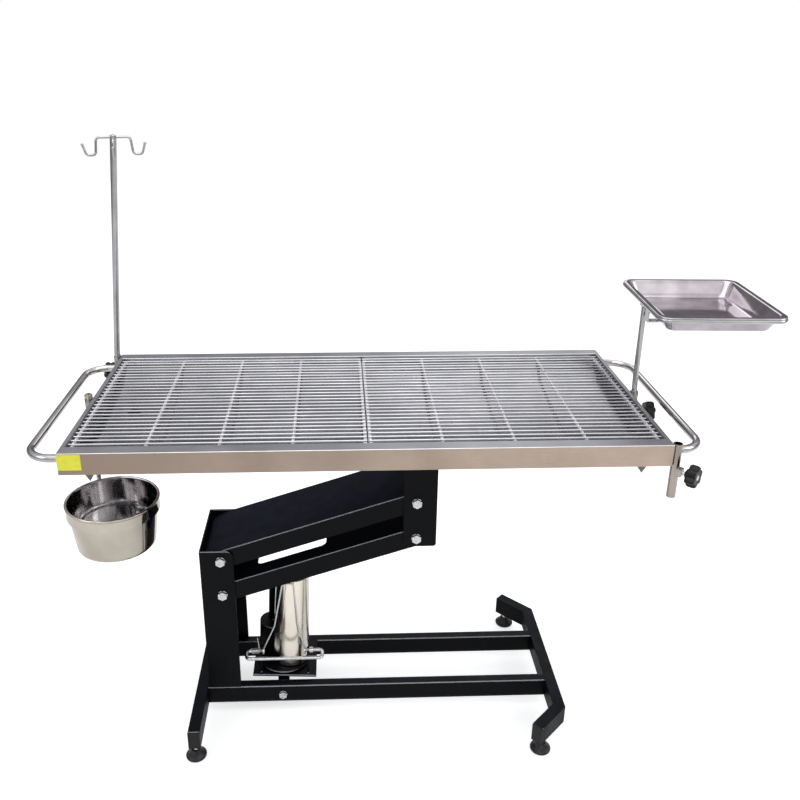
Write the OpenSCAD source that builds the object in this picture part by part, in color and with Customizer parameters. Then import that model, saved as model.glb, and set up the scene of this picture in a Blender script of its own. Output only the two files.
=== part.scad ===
// Veterinary surgery table: a steel wet-top with a two-part grille on a parallelogram lift,
// a foot pump under the lower arm, an infusion pole, an instrument tray and a swing-out bucket.
// Millimetres, +Z up. Places are counted from the middle of the tabletop at floor height, and
// every sub-part is then moved by origin_shift to the middle of the bounding box.

/* [Tabletop] */
// Length of the tabletop
top_l = 1300; // [1200:10:1400]
// Width of the tabletop
top_w = 600; // [560:10:660]
// Height of the rim above the floor at the lowest lift position
top_z = 876.5; // [870:0.5:890]
// Height of the tabletop's outer wall
wall_h = 50; // [44:1:60]
// Width of the rim's flat band along the sides
rim_side = 33; // [28:1:36]
// Width of the rim's flat band across the ends
rim_end = 9.5; // [8:0.5:12]
// Thickness of the tabletop's sheet
sheet = 2; // [1.5:0.5:3]
// Depth from the rim to the ledge that carries the grille
ledge_drop = 13.5; // [12:0.5:16]
// Width of the ledge along the sides
ledge_w = 22; // [18:1:26]
// Depth of the basin's slope next to the sides
basin_slope_h = 22; // [18:1:26]
// Fall of the basin towards the drain
basin_fall = 7; // [4:1:8]
// Drain's distance from the left end wall
drain_in = 94; // [90:1:110]
// Outer diameter of the drain spout
drain_d = 34; // [30:1:36]

/* [Grille] */
// Diameter of the long rods
rod_d = 4.5; // [4:0.5:5]
// Diameter of the frame and cross rods
cross_d = 8; // [7:0.5:9]
// Number of long rods in a panel
rod_count = 27; // [25:2:29]
// Distance from the frame's long rods to the outermost rod
rod_margin = 8.75; // [8:0.25:12]
// Distance from the middle of the table to the first cross rod
cross_first = 5.5; // [4.5:0.5:8]
// Gap between the last cross rod's axis and the rim
grille_end_gap = 8.6; // [8:0.1:12]
// Gap between the frame's long rods' axes and the rim
grille_side_gap = 8; // [6:1:12]

/* [End fittings] */
// Diameter of the handle tube
handle_d = 18; // [16:1:20]
// Reach of the handles past the end walls
handle_reach = 80; // [70:1:90]
// Distance of the handle's legs from the long walls
handle_in = 33; // [32:1:50]
// Bend radius of the handles
handle_r = 57; // [40:1:60]
// Outer diameter of the post sockets
socket_d = 20; // [19:1:24]
// Height of the post sockets
socket_h = 127; // [110:1:130]
// Bore of the corner sockets
corner_bore = 16.5; // [16.2:0.1:16.8]
// Bore of the middle sockets
middle_bore = 13.5; // [13.3:0.1:14]
// Distance of the corner sockets from the long walls
corner_in = 10; // [8:1:12]
// Diameter of the star knobs
knob_d = 50; // [44:1:56]
// Thickness of the star knobs
knob_h = 22; // [18:1:24]
// Distance from a socket's axis to the middle of its knob
knob_reach = 42; // [40:1:50]
// Diameter of the clamping screws
screw_d = 8; // [6:1:10]

/* [Infusion pole] */
// Diameter of the pole
pole_d = 16; // [15.8:0.1:16.2]
// Height of the hook bar above the floor
hook_z = 1450; // [1350:10:1500]
// Offset of the pole's head caused by its lean
pole_lean = 49; // [0:1:60]
// Diameter of the hook wire
hook_d = 6; // [5:0.5:8]
// Turn of the hooks about the pole
hook_turn = 12; // [0:1:90]

/* [Instrument tray] */
// Distance of the tray's middle past the end wall
tray_out = 146; // [140:1:160]
// Diameter of the tray's post
post_d = 13; // [12.5:0.1:13.2]
// Height of the tray's rim above the floor
tray_z = 1108; // [1050:1:1200]
// Length of the tray
tray_l = 330; // [300:5:380]
// Width of the tray
tray_w = 286; // [240:2:300]
// Depth of the tray
tray_h = 41; // [25:1:45]
// Diameter of the bar of the tray's ring
ring_d = 10; // [8:0.5:10]
// Radius of the tray's corners
tray_r = 28; // [20:1:34]
// Turn of the tray against the table
tray_turn = 2.7; // [0:0.1:5]

/* [Bucket] */
// Radius of the bucket at its rim
bucket_r = 106.9; // [100:0.1:112]
// Radius of the bucket at its bottom
bucket_foot_r = 93.5; // [85:0.1:98]
// Height of the bucket
bucket_h = 124; // [110:1:130]
// Height of the bucket's rim above the floor
bucket_z = 658.5; // [640:0.5:680]
// Diameter of the bucket holder's rod
hanger_d = 12; // [11:0.5:13]

/* [Base] */
// Height of the base's tubes
bar_h = 50; // [40:1:60]
// Height of the base's underside above the floor
bar_z = 38; // [34:1:44]
// Width of the foot bars
foot_w = 30; // [25:1:40]
// Width of the long rails
rail_w = 25; // [20:1:30]
// Distance of the rails' outer faces from the middle line
rail_y = 103; // [95:1:110]
// Wall of the base's tubes
tube_wall = 2; // [1.5:0.5:3]
// Left end of the rails
rail_x0 = -414; // [-420:1:-405]
// Right end of the rails
rail_x1 = 479; // [460:1:500]
// Half the length of the left foot bar
foot_left_y = 259; // [240:1:280]
// Distance of the right foot bar's bends from the middle line
foot_elbow_y = 202; // [190:1:210]
// Diameter of the levelling feet
pad_d = 52; // [44:1:60]
// Height of the levelling feet
pad_h = 24; // [18:1:26]

/* [Lift] */
// Left pivots' place along the table
pivot_x = -358.5; // [-360:0.5:-356]
// Height of the lower left pivot
pivot_z = 378.5; // [370:0.5:390]
// Distance between the upper and the lower pivots
pivot_gap = 98.5; // [90:0.5:110]
// Length of the arms between pivots
arm_l = 507.7; // [480:0.1:520]
// Slope of the arms at the lowest lift position
arm_slope = 17.9; // [15:0.1:20]
// Depth of the arms
arm_h = 50; // [44:1:56]
// Overhang of the arms past their pivots
arm_over = 34; // [28:1:34]
// Plate thickness of the column, the arms and the bracket
plate = 4; // [3:0.5:5]
// Gap between an arm and the channel that it turns in
arm_gap = 1; // [0.8:0.1:1.5]
// Diameter of the pivot bolts
bolt_d = 16; // [14:1:18]
// Left edge of the column
column_x0 = -410; // [-412:1:-406]
// Right edge of the column
column_x1 = -327; // [-330:1:-320]
// Height of the column's top above the floor
column_top = 505; // [500:1:520]
// Distance from the right pivots to the bracket's left edge
bracket_left = 32.1; // [30:0.1:36]
// Distance from the right pivots to the bracket's right edge
bracket_right = 49; // [47:0.1:55]
// Depth of the table bracket below the lower right pivot
bracket_low = 23.5; // [20:0.5:30]

/* [Pump] */
// Place of the cradle bolt along the table
cradle_x = -218; // [-222:1:-214]
// Height of the cradle bolt above the floor
cradle_z = 61.2; // [58:0.1:64]
// Lean of the pump towards the table's right end
pump_lean = 2.75; // [2:0.05:4]
// Offset of the pump's axis from the cradle bolt
pump_offset = 15; // [10:1:20]
// Distance from the cradle bolt to the ram pin along the pump
ram_reach = 331; // [325:1:340]
// Lower diameter of the ram's cover
cover_d0 = 99; // [90:1:104]
// Upper diameter of the ram's cover
cover_d1 = 87; // [80:1:96]
// Diameter of the ram
ram_d = 32; // [28:1:36]
// Distance from the middle line to the pedal's hinge
pedal_y = -56; // [-60:1:-54]
// Height of the pedal's hinge above the floor
pedal_z = 165; // [160:1:170]

/* [Hidden] */
$fn = 48;
eps = 0.5;
run_gap = 0.05;
contact_gap = 0.3;

// Finishes
black_paint = [0.09, 0.09, 0.10];
steel = [0.72, 0.72, 0.74];
polished = [0.85, 0.85, 0.87];
zinc = [0.62, 0.62, 0.64];
black_plastic = [0.06, 0.06, 0.06];
yellow = [0.93, 0.86, 0.12];

// Places worked out from the values above
top_x = top_l / 2;
top_y = top_w / 2;
wall_z = top_z - wall_h;
ledge_z = top_z - ledge_drop;
end_socket_x = top_x + socket_d / 2;
corner_y = top_y - corner_in;
handle_leg_y = top_y - handle_in;
drain_x = top_x - drain_in;
grille_side = top_y - rim_side - grille_side_gap;
rod_pitch = 2 * (grille_side - rod_margin) / (rod_count - 1);
cross_pitch = (top_x - rim_end - grille_end_gap - cross_first) / 4;
socket_z = top_z - 0.5 - socket_h;
socket_floor = 7;
knob_z = top_z - 64.5;
rear_knob_z = knob_z + 11;
tray_knob_z = top_z - 53.5;
hanger_y = -2;
hook_span = 78;
slope_cos = cos(arm_slope);
slope_sin = sin(arm_slope);
right_pivot_x = pivot_x + arm_l * slope_cos;
right_pivot_z = pivot_z + arm_l * slope_sin;
bracket_x0 = right_pivot_x - bracket_left;
bracket_x1 = right_pivot_x + bracket_right;
bracket_z0 = right_pivot_z - bracket_low;
arm_half = rail_y - plate - arm_gap;
sleeve_d = 24;
open_gap = 0.6;
foot_inner_y = foot_elbow_y - foot_w * tan(22.5);
foot_leg = 104.6;
stud_d = 10;
diag = sqrt(0.5);

// The instrument tray's outermost corner and the handle's outermost face set the box in X,
// the hooks and the front knob set it in Y.
tray_x = top_x + tray_out;
tray_y = 14;
ring_out = 2;
ring_corner = tray_r + ring_out;
tray_far_x = tray_x + (tray_w / 2 - tray_r) * cos(tray_turn) + (tray_l / 2 - tray_r) * sin(tray_turn) + ring_corner;
handle_far_x = top_x + handle_reach + handle_d / 2;
hooks_far_y = corner_y + hook_span * cos(hook_turn);
knob_far_y = corner_y + (knob_reach + knob_h / 2 + knob_d / 2) * diag;
origin_shift = [(handle_far_x - tray_far_x) / 2, (knob_far_y - hooks_far_y) / 2, 0];

function unit(v) = v / norm(v);

// Moves a sub-part from the tabletop's own places to the origin below the middle of the box.
module placed() {
    translate(origin_shift) children();
}

// Straight round bar from one point to another.
module bar(a, b, d) {
    v = b - a;
    translate(a)
        rotate([0, acos(v[2] / norm(v)), atan2(v[1], v[0])])
            cylinder(h = norm(v), d = d);
}

// Part of a straight round bar from a to b that leaves out cut_a and cut_b at its ends.
module bar_between(a, b, d, cut_a, cut_b) {
    v = b - a;
    translate(a)
        rotate([0, acos(v[2] / norm(v)), atan2(v[1], v[0])])
            translate([0, 0, cut_a])
                cylinder(h = norm(v) - cut_a - cut_b, d = d);
}

function half_corner(a, p, b) = acos(unit(a - p) * unit(b - p)) / 2;

// Bend that rounds the corner p between a and b.
module elbow(a, p, b, d, r) {
    u = unit(a - p);
    w = unit(b - p);
    half = half_corner(a, p, b);
    centre = unit(u + w) * r / sin(half);
    ax = unit(u * r / tan(half) - centre);
    ay = -u;
    az = cross(ax, ay);
    translate(p)
        multmatrix([
            [ax[0], ay[0], az[0], centre[0]],
            [ax[1], ay[1], az[1], centre[1]],
            [ax[2], ay[2], az[2], centre[2]],
            [0, 0, 0, 1]
        ])
            rotate_extrude(angle = 180 - 2 * half)
                translate([r, 0])
                    circle(d = d);
}

// Round bar bent along points, with radius r at each corner.
module bent_bar(pts, d, r) {
    n = len(pts);
    cut = [for (i = [0 : n - 1])
        (i == 0 || i == n - 1) ? 0 : r / tan(half_corner(pts[i - 1], pts[i], pts[i + 1]))];
    for (i = [0 : n - 2])
        bar_between(pts[i], pts[i + 1], d, cut[i], cut[i + 1]);
    for (i = [1 : n - 2])
        elbow(pts[i - 1], pts[i], pts[i + 1], d, r);
}

// Round bar bent to a closed loop.
module bent_loop(pts, d, r) {
    n = len(pts);
    cut = [for (i = [0 : n - 1])
        r / tan(half_corner(pts[(i + n - 1) % n], pts[i], pts[(i + 1) % n]))];
    for (i = [0 : n - 1]) {
        k = (i + 1) % n;
        bar_between(pts[i], pts[k], d, cut[i], cut[k]);
        elbow(pts[(i + n - 1) % n], pts[i], pts[k], d, r);
    }
}

// Round bar with slight kinks, each filled by a ball.
module kinked_bar(pts, d) {
    ball = 1.01;
    for (i = [0 : len(pts) - 2])
        bar(pts[i], pts[i + 1], d);
    for (i = [1 : len(pts) - 2])
        translate(pts[i]) sphere(d = d * ball);
}

// Points round the corner p between a and b.
function arc_points(a, p, b, r, steps) =
    let (
        u = unit(a - p),
        w = unit(b - p),
        half = half_corner(a, p, b),
        centre = p + unit(u + w) * r / sin(half),
        ax = unit(p + u * r / tan(half) - centre),
        sweep = 180 - 2 * half
    )
    [for (i = [0 : steps]) centre + r * (ax * cos(sweep * i / steps) - u * sin(sweep * i / steps))];

function bent_path(pts, r, steps) = concat(
    [pts[0]],
    [for (i = [1 : len(pts) - 2]) each arc_points(pts[i - 1], pts[i], pts[i + 1], r, steps)],
    [pts[len(pts) - 1]]
);

// Wire along points; across is a direction that the path never runs along.
module wire_tube(path, d, across, sides) {
    n = len(path);
    pts = [for (i = [0 : n - 1])
        let (
            t = unit(path[min(i + 1, n - 1)] - path[max(i - 1, 0)]),
            side = unit(cross(t, across)),
            up = cross(side, t)
        )
        for (k = [0 : sides - 1]) path[i] + d / 2 * (side * cos(360 * k / sides) + up * sin(360 * k / sides))];
    faces = concat(
        [[for (k = [sides - 1 : -1 : 0]) k]],
        [for (i = [0 : n - 2]) for (k = [0 : sides - 1]) for (half = [0, 1])
            let (a = i * sides + k, b = i * sides + (k + 1) % sides)
                half == 0 ? [a, b + sides, a + sides] : [a, b, b + sides]],
        [[for (k = [0 : sides - 1]) (n - 1) * sides + k]]
    );
    polyhedron(pts, faces, convexity = 6);
}

// Rectangle with round corners, centred.
module round_rect(l, w, r) {
    for (sx = [-1, 1])
        for (sy = [-1, 1])
            translate([sx * (l / 2 - r), sy * (w / 2 - r)]) circle(r = r);
    square([l - 2 * r, w], center = true);
    square([l, w - 2 * r], center = true);
}

// Box from corner to corner.
module block(lo, hi) {
    translate(lo) cube(hi - lo);
}

// Round bar along Y from y0 to y1.
module bar_y(x, z, y0, y1, d) {
    translate([x, y1, z]) rotate([90, 0, 0]) cylinder(h = y1 - y0, d = d);
}

// Hexagon head or nut along Y.
module hex_y(x, z, y0, y1, flats) {
    translate([x, y1, z]) rotate([90, 0, 0]) cylinder(h = y1 - y0, d = flats / cos(30), $fn = 6);
}

// Square tube along Y.
module foot_bar_left() {
    color(black_paint) placed() difference() {
        block([rail_x0 - foot_w, -foot_left_y, bar_z], [rail_x0, foot_left_y, bar_z + bar_h]);
        block([rail_x0 - foot_w + tube_wall, -foot_left_y - eps, bar_z + tube_wall],
              [rail_x0 - tube_wall, foot_left_y + eps, bar_z + bar_h - tube_wall]);
        for (s = [-1, 1])
            translate([rail_x0 - foot_w / 2, s * left_foot_y, bar_z - eps])
                cylinder(h = tube_wall + 2 * eps, d = stud_d + 2 * contact_gap);
    }
}
left_foot_y = foot_left_y - 14;

// Outline of the right foot bar, moved inwards by t; its ends run past by over.
module foot_right_outline(t, over) {
    k = t * tan(22.5);
    far = foot_leg + over;
    outer = [rail_x1 + foot_w - t, foot_elbow_y - k];
    inner = [rail_x1 + t, foot_inner_y + k];
    leg = far * diag;
    o_end = [rail_x1 + foot_w - t * 2 * diag - leg, foot_elbow_y + leg];
    i_end = o_end - [1, 1] * (foot_w - 2 * t) * diag;
    polygon([
        outer, o_end, i_end, inner,
        [inner[0], -inner[1]], [i_end[0], -i_end[1]], [o_end[0], -o_end[1]], [outer[0], -outer[1]]
    ]);
}

right_foot_x = rail_x1 + foot_w - (foot_leg - 20) * diag - foot_w / 2 * diag;
right_foot_y = foot_elbow_y + (foot_leg - 20) * diag - foot_w / 2 * diag;

module foot_bar_right() {
    color(black_paint) placed() difference() {
        translate([0, 0, bar_z]) linear_extrude(bar_h) foot_right_outline(0, 0);
        translate([0, 0, bar_z + tube_wall])
            linear_extrude(bar_h - 2 * tube_wall) foot_right_outline(tube_wall, 1);
        for (s = [-1, 1])
            translate([right_foot_x, s * right_foot_y, bar_z - eps])
                cylinder(h = tube_wall + 2 * eps, d = stud_d + 2 * contact_gap);
    }
}

// Long rail on one side: side -1 is the front.
module base_rail(side) {
    y0 = side < 0 ? -rail_y : rail_y - rail_w;
    color(black_paint) placed() difference() {
        block([rail_x0, y0, bar_z], [rail_x1, y0 + rail_w, bar_z + bar_h]);
        block([rail_x0 - eps, y0 + tube_wall, bar_z + tube_wall],
              [rail_x1 + eps, y0 + rail_w - tube_wall, bar_z + bar_h - tube_wall]);
        bar_y(cradle_x, cradle_z, y0 - eps, y0 + rail_w + eps, cradle_d + 2 * contact_gap);
    }
}
cradle_d = 12;

// Flat caps with a plug, one in each open tube end.
module bar_end_caps() {
    cap = 3;
    plug = 6;
    slack = 0.2;
    color(black_plastic) placed() {
        for (s = [-1, 1]) {
            translate([rail_x0 - foot_w / 2, s * foot_left_y, bar_z + bar_h / 2])
                rotate([0, 0, s * 90]) end_cap(cap, plug, slack);
            translate([rail_x1 + foot_w - (foot_leg + foot_w / 2) * diag,
                       s * (foot_elbow_y + (foot_leg - foot_w / 2) * diag), bar_z + bar_h / 2])
                rotate([0, 0, s * 135]) end_cap(cap, plug, slack);
        }
    }
}

// Cap at the origin that closes a tube which comes from -X.
module end_cap(cap, plug, slack) {
    in_w = foot_w - 2 * tube_wall - 2 * slack;
    in_h = bar_h - 2 * tube_wall - 2 * slack;
    translate([0, -foot_w / 2, -bar_h / 2]) cube([cap, foot_w, bar_h]);
    translate([-plug, -in_w / 2, -in_h / 2]) cube([plug, in_w, in_h]);
}

// Channel that stands on the rails with its web to the left and its top corners rounded.
module column() {
    corner = 18;
    outer = rail_y;
    color(black_paint) placed() difference() {
        translate([0, outer, 0]) rotate([90, 0, 0]) linear_extrude(2 * outer) {
            translate([column_x0, bar_z + bar_h])
                square([column_x1 - column_x0, column_top - bar_z - bar_h - corner]);
            translate([column_x0, bar_z + bar_h])
                square([column_x1 - column_x0 - corner, column_top - bar_z - bar_h]);
            translate([column_x1 - corner, column_top - corner]) circle(r = corner);
        }
        block([column_x0 + plate, -outer + plate, bar_z], [column_x1 + eps, outer - plate, column_top + eps]);
        for (z = [pivot_z, pivot_z + pivot_gap])
            bar_y(pivot_x, z, -outer - eps, outer + eps, bolt_d + 2 * contact_gap);
    }
}

// Bolt along Y with a head in front and a nut behind.
module pivot_bolt(x, z) {
    head_flats = 24;
    bar_y(x, z, -rail_y, rail_y + 16, bolt_d);
    hex_y(x, z, -rail_y - 9, -rail_y, head_flats);
    difference() {
        hex_y(x, z, rail_y, rail_y + 13, head_flats);
        bar_y(x, z, rail_y - eps, rail_y + 14, bolt_d);
    }
}

module column_pivot_bolts() {
    color(zinc) placed() {
        pivot_bolt(pivot_x, pivot_z);
        pivot_bolt(pivot_x, pivot_z + pivot_gap);
    }
}

module table_pivot_bolts() {
    color(zinc) placed() {
        pivot_bolt(right_pivot_x, right_pivot_z);
        pivot_bolt(right_pivot_x, right_pivot_z + pivot_gap);
    }
}

// Each lock nut sits between the pad and the tube above it.
module foot_lock_nuts() {
    nut_h = 8;
    color(zinc) placed()
        for (p = foot_places)
            translate([p[0], p[1], bar_z - nut_h]) difference() {
                cylinder(h = nut_h, d = 17 / cos(30), $fn = 6);
                translate([0, 0, -eps]) cylinder(h = nut_h + 2 * eps, d = stud_d + 2 * run_gap);
            }
}
foot_places = [
    [rail_x0 - foot_w / 2, -left_foot_y],
    [rail_x0 - foot_w / 2, left_foot_y],
    [right_foot_x, -right_foot_y],
    [right_foot_x, right_foot_y]
];

// Pad with a stud that screws into the foot bar.
module levelling_foot(i) {
    base_h = 7;
    stud_top = bar_z + 26;
    color(black_plastic) placed() translate([foot_places[i][0], foot_places[i][1], 0]) {
        rotate_extrude() polygon([
            [0, 0], [pad_d / 2 - 3, 0], [pad_d / 2, 3], [pad_d / 2, base_h], [pad_d / 2 - 6, base_h + 6],
            [pad_d / 2 - 13, pad_h - 3], [pad_d / 2 - 14, pad_h], [0, pad_h]
        ]);
        cylinder(h = stud_top, d = stud_d);
    }
}

// Long bolt that the pump cradle swings on.
module cradle_bolt() {
    color(zinc) placed() {
        bar_y(cradle_x, cradle_z, -rail_y, rail_y + 12, cradle_d);
        hex_y(cradle_x, cradle_z, -rail_y - 8, -rail_y, 19);
        difference() {
            hex_y(cradle_x, cradle_z, rail_y, rail_y + 10, 19);
            bar_y(cradle_x, cradle_z, rail_y - eps, rail_y + 11, cradle_d);
        }
    }
}

// Moves children from an arm's own axes (X along the arm, Z square to it) to a pivot height.
module on_arm(z) {
    placed() translate([pivot_x, 0, z]) rotate([0, -arm_slope, 0]) children();
}

// Channel with its open side down and a bore for a sleeve at each end.
module arm_channel() {
    difference() {
        block([-arm_over, -arm_half, -arm_h / 2], [arm_l + arm_over, arm_half, arm_h / 2]);
        block([-arm_over - eps, -arm_half + plate, -arm_h / 2 - eps],
              [arm_l + arm_over + eps, arm_half - plate, arm_h / 2 - plate]);
        for (x = [0, arm_l])
            bar_y(x, 0, -arm_half - eps, arm_half + eps, sleeve_d);
    }
}

// Opening in the lower arm's top plate above the pump.
arm_hole = [97, 282];
arm_hole_y = 52;
module lower_arm() {
    color(black_paint) on_arm(pivot_z) difference() {
        arm_channel();
        translate([(arm_hole[0] + arm_hole[1]) / 2, 0, arm_h / 2 - plate - eps])
            linear_extrude(plate + 2 * eps)
                round_rect(arm_hole[1] - arm_hole[0], 2 * arm_hole_y, 14);
    }
}

module upper_arm() {
    color(black_paint) on_arm(pivot_z + pivot_gap) arm_channel();
}

// Sleeve across an arm, with a running bore or, at the opened pivot, a wider one.
module arm_sleeve(x, bore) {
    difference() {
        bar_y(x, 0, -arm_half, arm_half, sleeve_d);
        bar_y(x, 0, -arm_half - eps, arm_half + eps, bore);
    }
}

module lower_arm_sleeves() {
    color(zinc) on_arm(pivot_z)
        for (x = [0, arm_l]) arm_sleeve(x, bolt_d + 2 * run_gap);
}

module upper_arm_sleeves() {
    color(zinc) on_arm(pivot_z + pivot_gap) {
        arm_sleeve(0, bolt_d + 2 * run_gap);
        arm_sleeve(arm_l, bolt_d + 2 * open_gap);
    }
}

// Ram pin's place, first on the table's axes and then along and square to the lower arm.
ram_x = cradle_x + pump_offset * cos(pump_lean) + ram_reach * sin(pump_lean);
ram_z = cradle_z - pump_offset * sin(pump_lean) + ram_reach * cos(pump_lean);
ram_s = (ram_x - pivot_x) * slope_cos + (ram_z - pivot_z) * slope_sin;
ram_n = (ram_z - pivot_z) * slope_cos - (ram_x - pivot_x) * slope_sin;
ram_pin_d = 12;
lug_y = 26;
lug_t = 6;
lug_half = 12;

// Two plates welded below the lower arm's top plate, past the opening, that reach to the ram pin.
module push_bracket() {
    top = arm_h / 2 - plate;
    color(black_paint) on_arm(pivot_z)
        for (s = [-1, 1])
            difference() {
                translate([0, s > 0 ? lug_y + lug_t : -lug_y, 0]) rotate([90, 0, 0]) linear_extrude(lug_t) {
                    translate([ram_s, ram_n]) circle(r = lug_half);
                    polygon([
                        [ram_s, ram_n - lug_half], [arm_hole[1] - 4, ram_n - 6], [arm_hole[1] + 50, top],
                        [arm_hole[1] + 6, top], [arm_hole[1] - 8, ram_n + lug_half + 2],
                        [ram_s, ram_n + lug_half]
                    ]);
                }
                bar_y(ram_s, ram_n, s * (lug_y + lug_t / 2) - lug_t, s * (lug_y + lug_t / 2) + lug_t,
                      ram_pin_d + 2 * run_gap);
            }
}

module ram_pin() {
    reach = lug_y + lug_t;
    color(zinc) on_arm(pivot_z) {
        bar_y(ram_s, ram_n, -reach, reach + 4, ram_pin_d);
        bar_y(ram_s, ram_n, -reach - 4, -reach, ram_pin_d + 6);
        difference() {
            bar_y(ram_s, ram_n, reach, reach + 2, ram_pin_d + 8);
            bar_y(ram_s, ram_n, reach - eps, reach + 3, ram_pin_d);
        }
    }
}

// Heights of the supports between the bracket and the tabletop.
cross_h = 18;
support_h = 25;
cross_z = wall_z - cross_h;
support_z = cross_z - support_h;
cap_t = 6;
bracket_top = support_z;

// Channel that hangs from the tabletop's supports, with its web to the right and a cap plate.
module table_bracket() {
    corner = 7;
    color(black_paint) placed() {
        difference() {
            translate([0, rail_y, 0]) rotate([90, 0, 0]) linear_extrude(2 * rail_y) {
                translate([bracket_x0, bracket_z0 + corner])
                    square([bracket_x1 - bracket_x0, bracket_top - cap_t - bracket_z0 - corner]);
                translate([bracket_x0, bracket_z0])
                    square([bracket_x1 - bracket_x0 - corner, bracket_top - cap_t - bracket_z0]);
                translate([bracket_x1 - corner, bracket_z0 + corner]) circle(r = corner);
            }
            block([bracket_x0 - eps, -rail_y + plate, bracket_z0 - eps],
                  [bracket_x1 - plate, rail_y - plate, bracket_top]);
            for (z = [right_pivot_z, right_pivot_z + pivot_gap])
                bar_y(right_pivot_x, z, -rail_y - eps, rail_y + eps, bolt_d + 2 * contact_gap);
        }
        block([bracket_x0 - 60, -rail_y - 20, bracket_top - cap_t], [bracket_x1 + 60, rail_y + 20, bracket_top]);
    }
}

// Two tubes along the table on the bracket's cap plate.
support_x = 450;
module support_rails() {
    color(black_paint) placed()
        for (s = [-1, 1])
            difference() {
                block([-support_x, s * 95 - 20, support_z], [support_x, s * 95 + 20, cross_z]);
                block([-support_x - eps, s * 95 - 20 + tube_wall, support_z + tube_wall],
                      [support_x + eps, s * 95 + 20 - tube_wall, cross_z - tube_wall]);
            }
}

// Three tubes across the table that carry the tabletop's lower flange.
flange = 48;
module support_crosses() {
    half_y = top_y - flange + 12;
    cross_x = support_x - 20;
    color(black_paint) placed()
        for (x = [-cross_x, 0, cross_x])
            difference() {
                block([x - 20, -half_y, cross_z], [x + 20, half_y, wall_z]);
                block([x - 20 + tube_wall, -half_y - eps, cross_z + tube_wall],
                      [x + 20 - tube_wall, half_y + eps, wall_z - tube_wall]);
            }
}

// V-shaped rails across the underside near the ends.
module edge_stiffeners() {
    v_w = 22;
    v_h = 18;
    v_in = 63;
    v_x = top_x - v_in;
    half_y = top_y - 6;
    color(steel) placed()
        for (s = [-1, 1])
            translate([s * v_x, half_y, wall_z]) rotate([90, 0, 0])
                linear_extrude(2 * half_y) polygon([[-v_w / 2, 0], [v_w / 2, 0], [0, -v_h]]);
}

// Folded frame of the tabletop: outer wall, rim band, inner lip and lower flange.
module tray_shell() {
    in_x = top_x - rim_end;
    in_y = top_y - rim_side;
    color(steel) placed() difference() {
        block([-top_x, -top_y, wall_z], [top_x, top_y, top_z]);
        block([-in_x, -in_y, ledge_z - eps], [in_x, in_y, top_z + eps]);
        difference() {
            block([-top_x + sheet, -top_y + sheet, wall_z + sheet], [top_x - sheet, top_y - sheet, top_z - sheet]);
            block([-in_x - sheet, -in_y - sheet, ledge_z], [in_x + sheet, in_y + sheet, top_z]);
        }
        block([-top_x + flange, -top_y + flange, wall_z - eps], [top_x - flange, top_y - flange, wall_z + sheet + eps]);
    }
}

// Basin sheet: a ledge for the grille, steep side slopes and a floor that falls to the drain.
basin_x = top_x - rim_end - 2 * sheet;
basin_y = top_y - rim_side;
slope_y0 = basin_y - ledge_w;
slope_y1 = 150;
floor_tilt = atan(basin_fall / (2 * basin_x));
function basin_line(t) = [
    [-slope_y0, ledge_z - t], [-slope_y1, ledge_z - basin_slope_h - t],
    [0, ledge_z - basin_slope_h - 4 - t],
    [slope_y1, ledge_z - basin_slope_h - t], [slope_y0, ledge_z - t]
];
function reversed(v) = [for (i = [len(v) - 1 : -1 : 0]) v[i]];

module basin() {
    color(polished) placed() difference() {
        union() {
            intersection() {
                translate([-basin_x, 0, 0]) rotate([90, 0, 90]) linear_extrude(2 * basin_x)
                    polygon(concat(
                        [[-basin_y - sheet, ledge_z - sheet], [-basin_y - sheet, ledge_z]],
                        basin_line(0),
                        [[basin_y + sheet, ledge_z], [basin_y + sheet, ledge_z - sheet]],
                        reversed(basin_line(sheet))
                    ));
                block([-basin_x, -basin_y - sheet, wall_z], [basin_x, basin_y + sheet, ledge_z]);
            }
            for (s = [-1, 1])
                translate([s > 0 ? basin_x - sheet : -basin_x, 0, 0])
                    rotate([90, 0, 90]) linear_extrude(sheet) polygon(concat(
                        [[-slope_y0, ledge_z]], basin_line(sheet / 2), [[slope_y0, ledge_z]]
                    ));
            for (s = [-1, 1])
                block([s > 0 ? basin_x - 12 : -basin_x - 2 * sheet, -slope_y0 - eps, ledge_z - sheet],
                      [s > 0 ? basin_x + 2 * sheet : -basin_x + 12, slope_y0 + eps, ledge_z]);
        }
        translate([-drain_x, 0, wall_z - 30]) cylinder(h = 60, d = drain_collar_d);
    }
}

// Short pipe in the basin's drain hole: a collar above and a tail for a hose below.
drain_collar_d = drain_d + 2;
drain_top = ledge_z - basin_slope_h - 4.5;
drain_tail_top = wall_z - 20;
drain_tail = 28;
module drain_spout() {
    wall = 2;
    color(steel) placed() translate([-drain_x, 0, 0]) difference() {
        union() {
            translate([0, 0, drain_tail_top - drain_tail]) cylinder(h = drain_tail + 1, d = drain_d);
            translate([0, 0, drain_tail_top]) cylinder(h = drain_top - drain_tail_top, d = drain_collar_d);
        }
        translate([0, 0, drain_tail_top - drain_tail - eps])
            cylinder(h = drain_top - drain_tail_top + drain_tail + 2 * eps, d = drain_d - 2 * wall);
    }
}

// Handle tube on one end: side -1 is the left.
handle_z = 850;
module handle(side) {
    far = side * (top_x + handle_reach);
    color(steel) placed() bent_bar([
        [side * top_x, -handle_leg_y, handle_z], [far, -handle_leg_y, handle_z],
        [far, handle_leg_y, handle_z], [side * top_x, handle_leg_y, handle_z]
    ], handle_d, handle_r);
}

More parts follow.
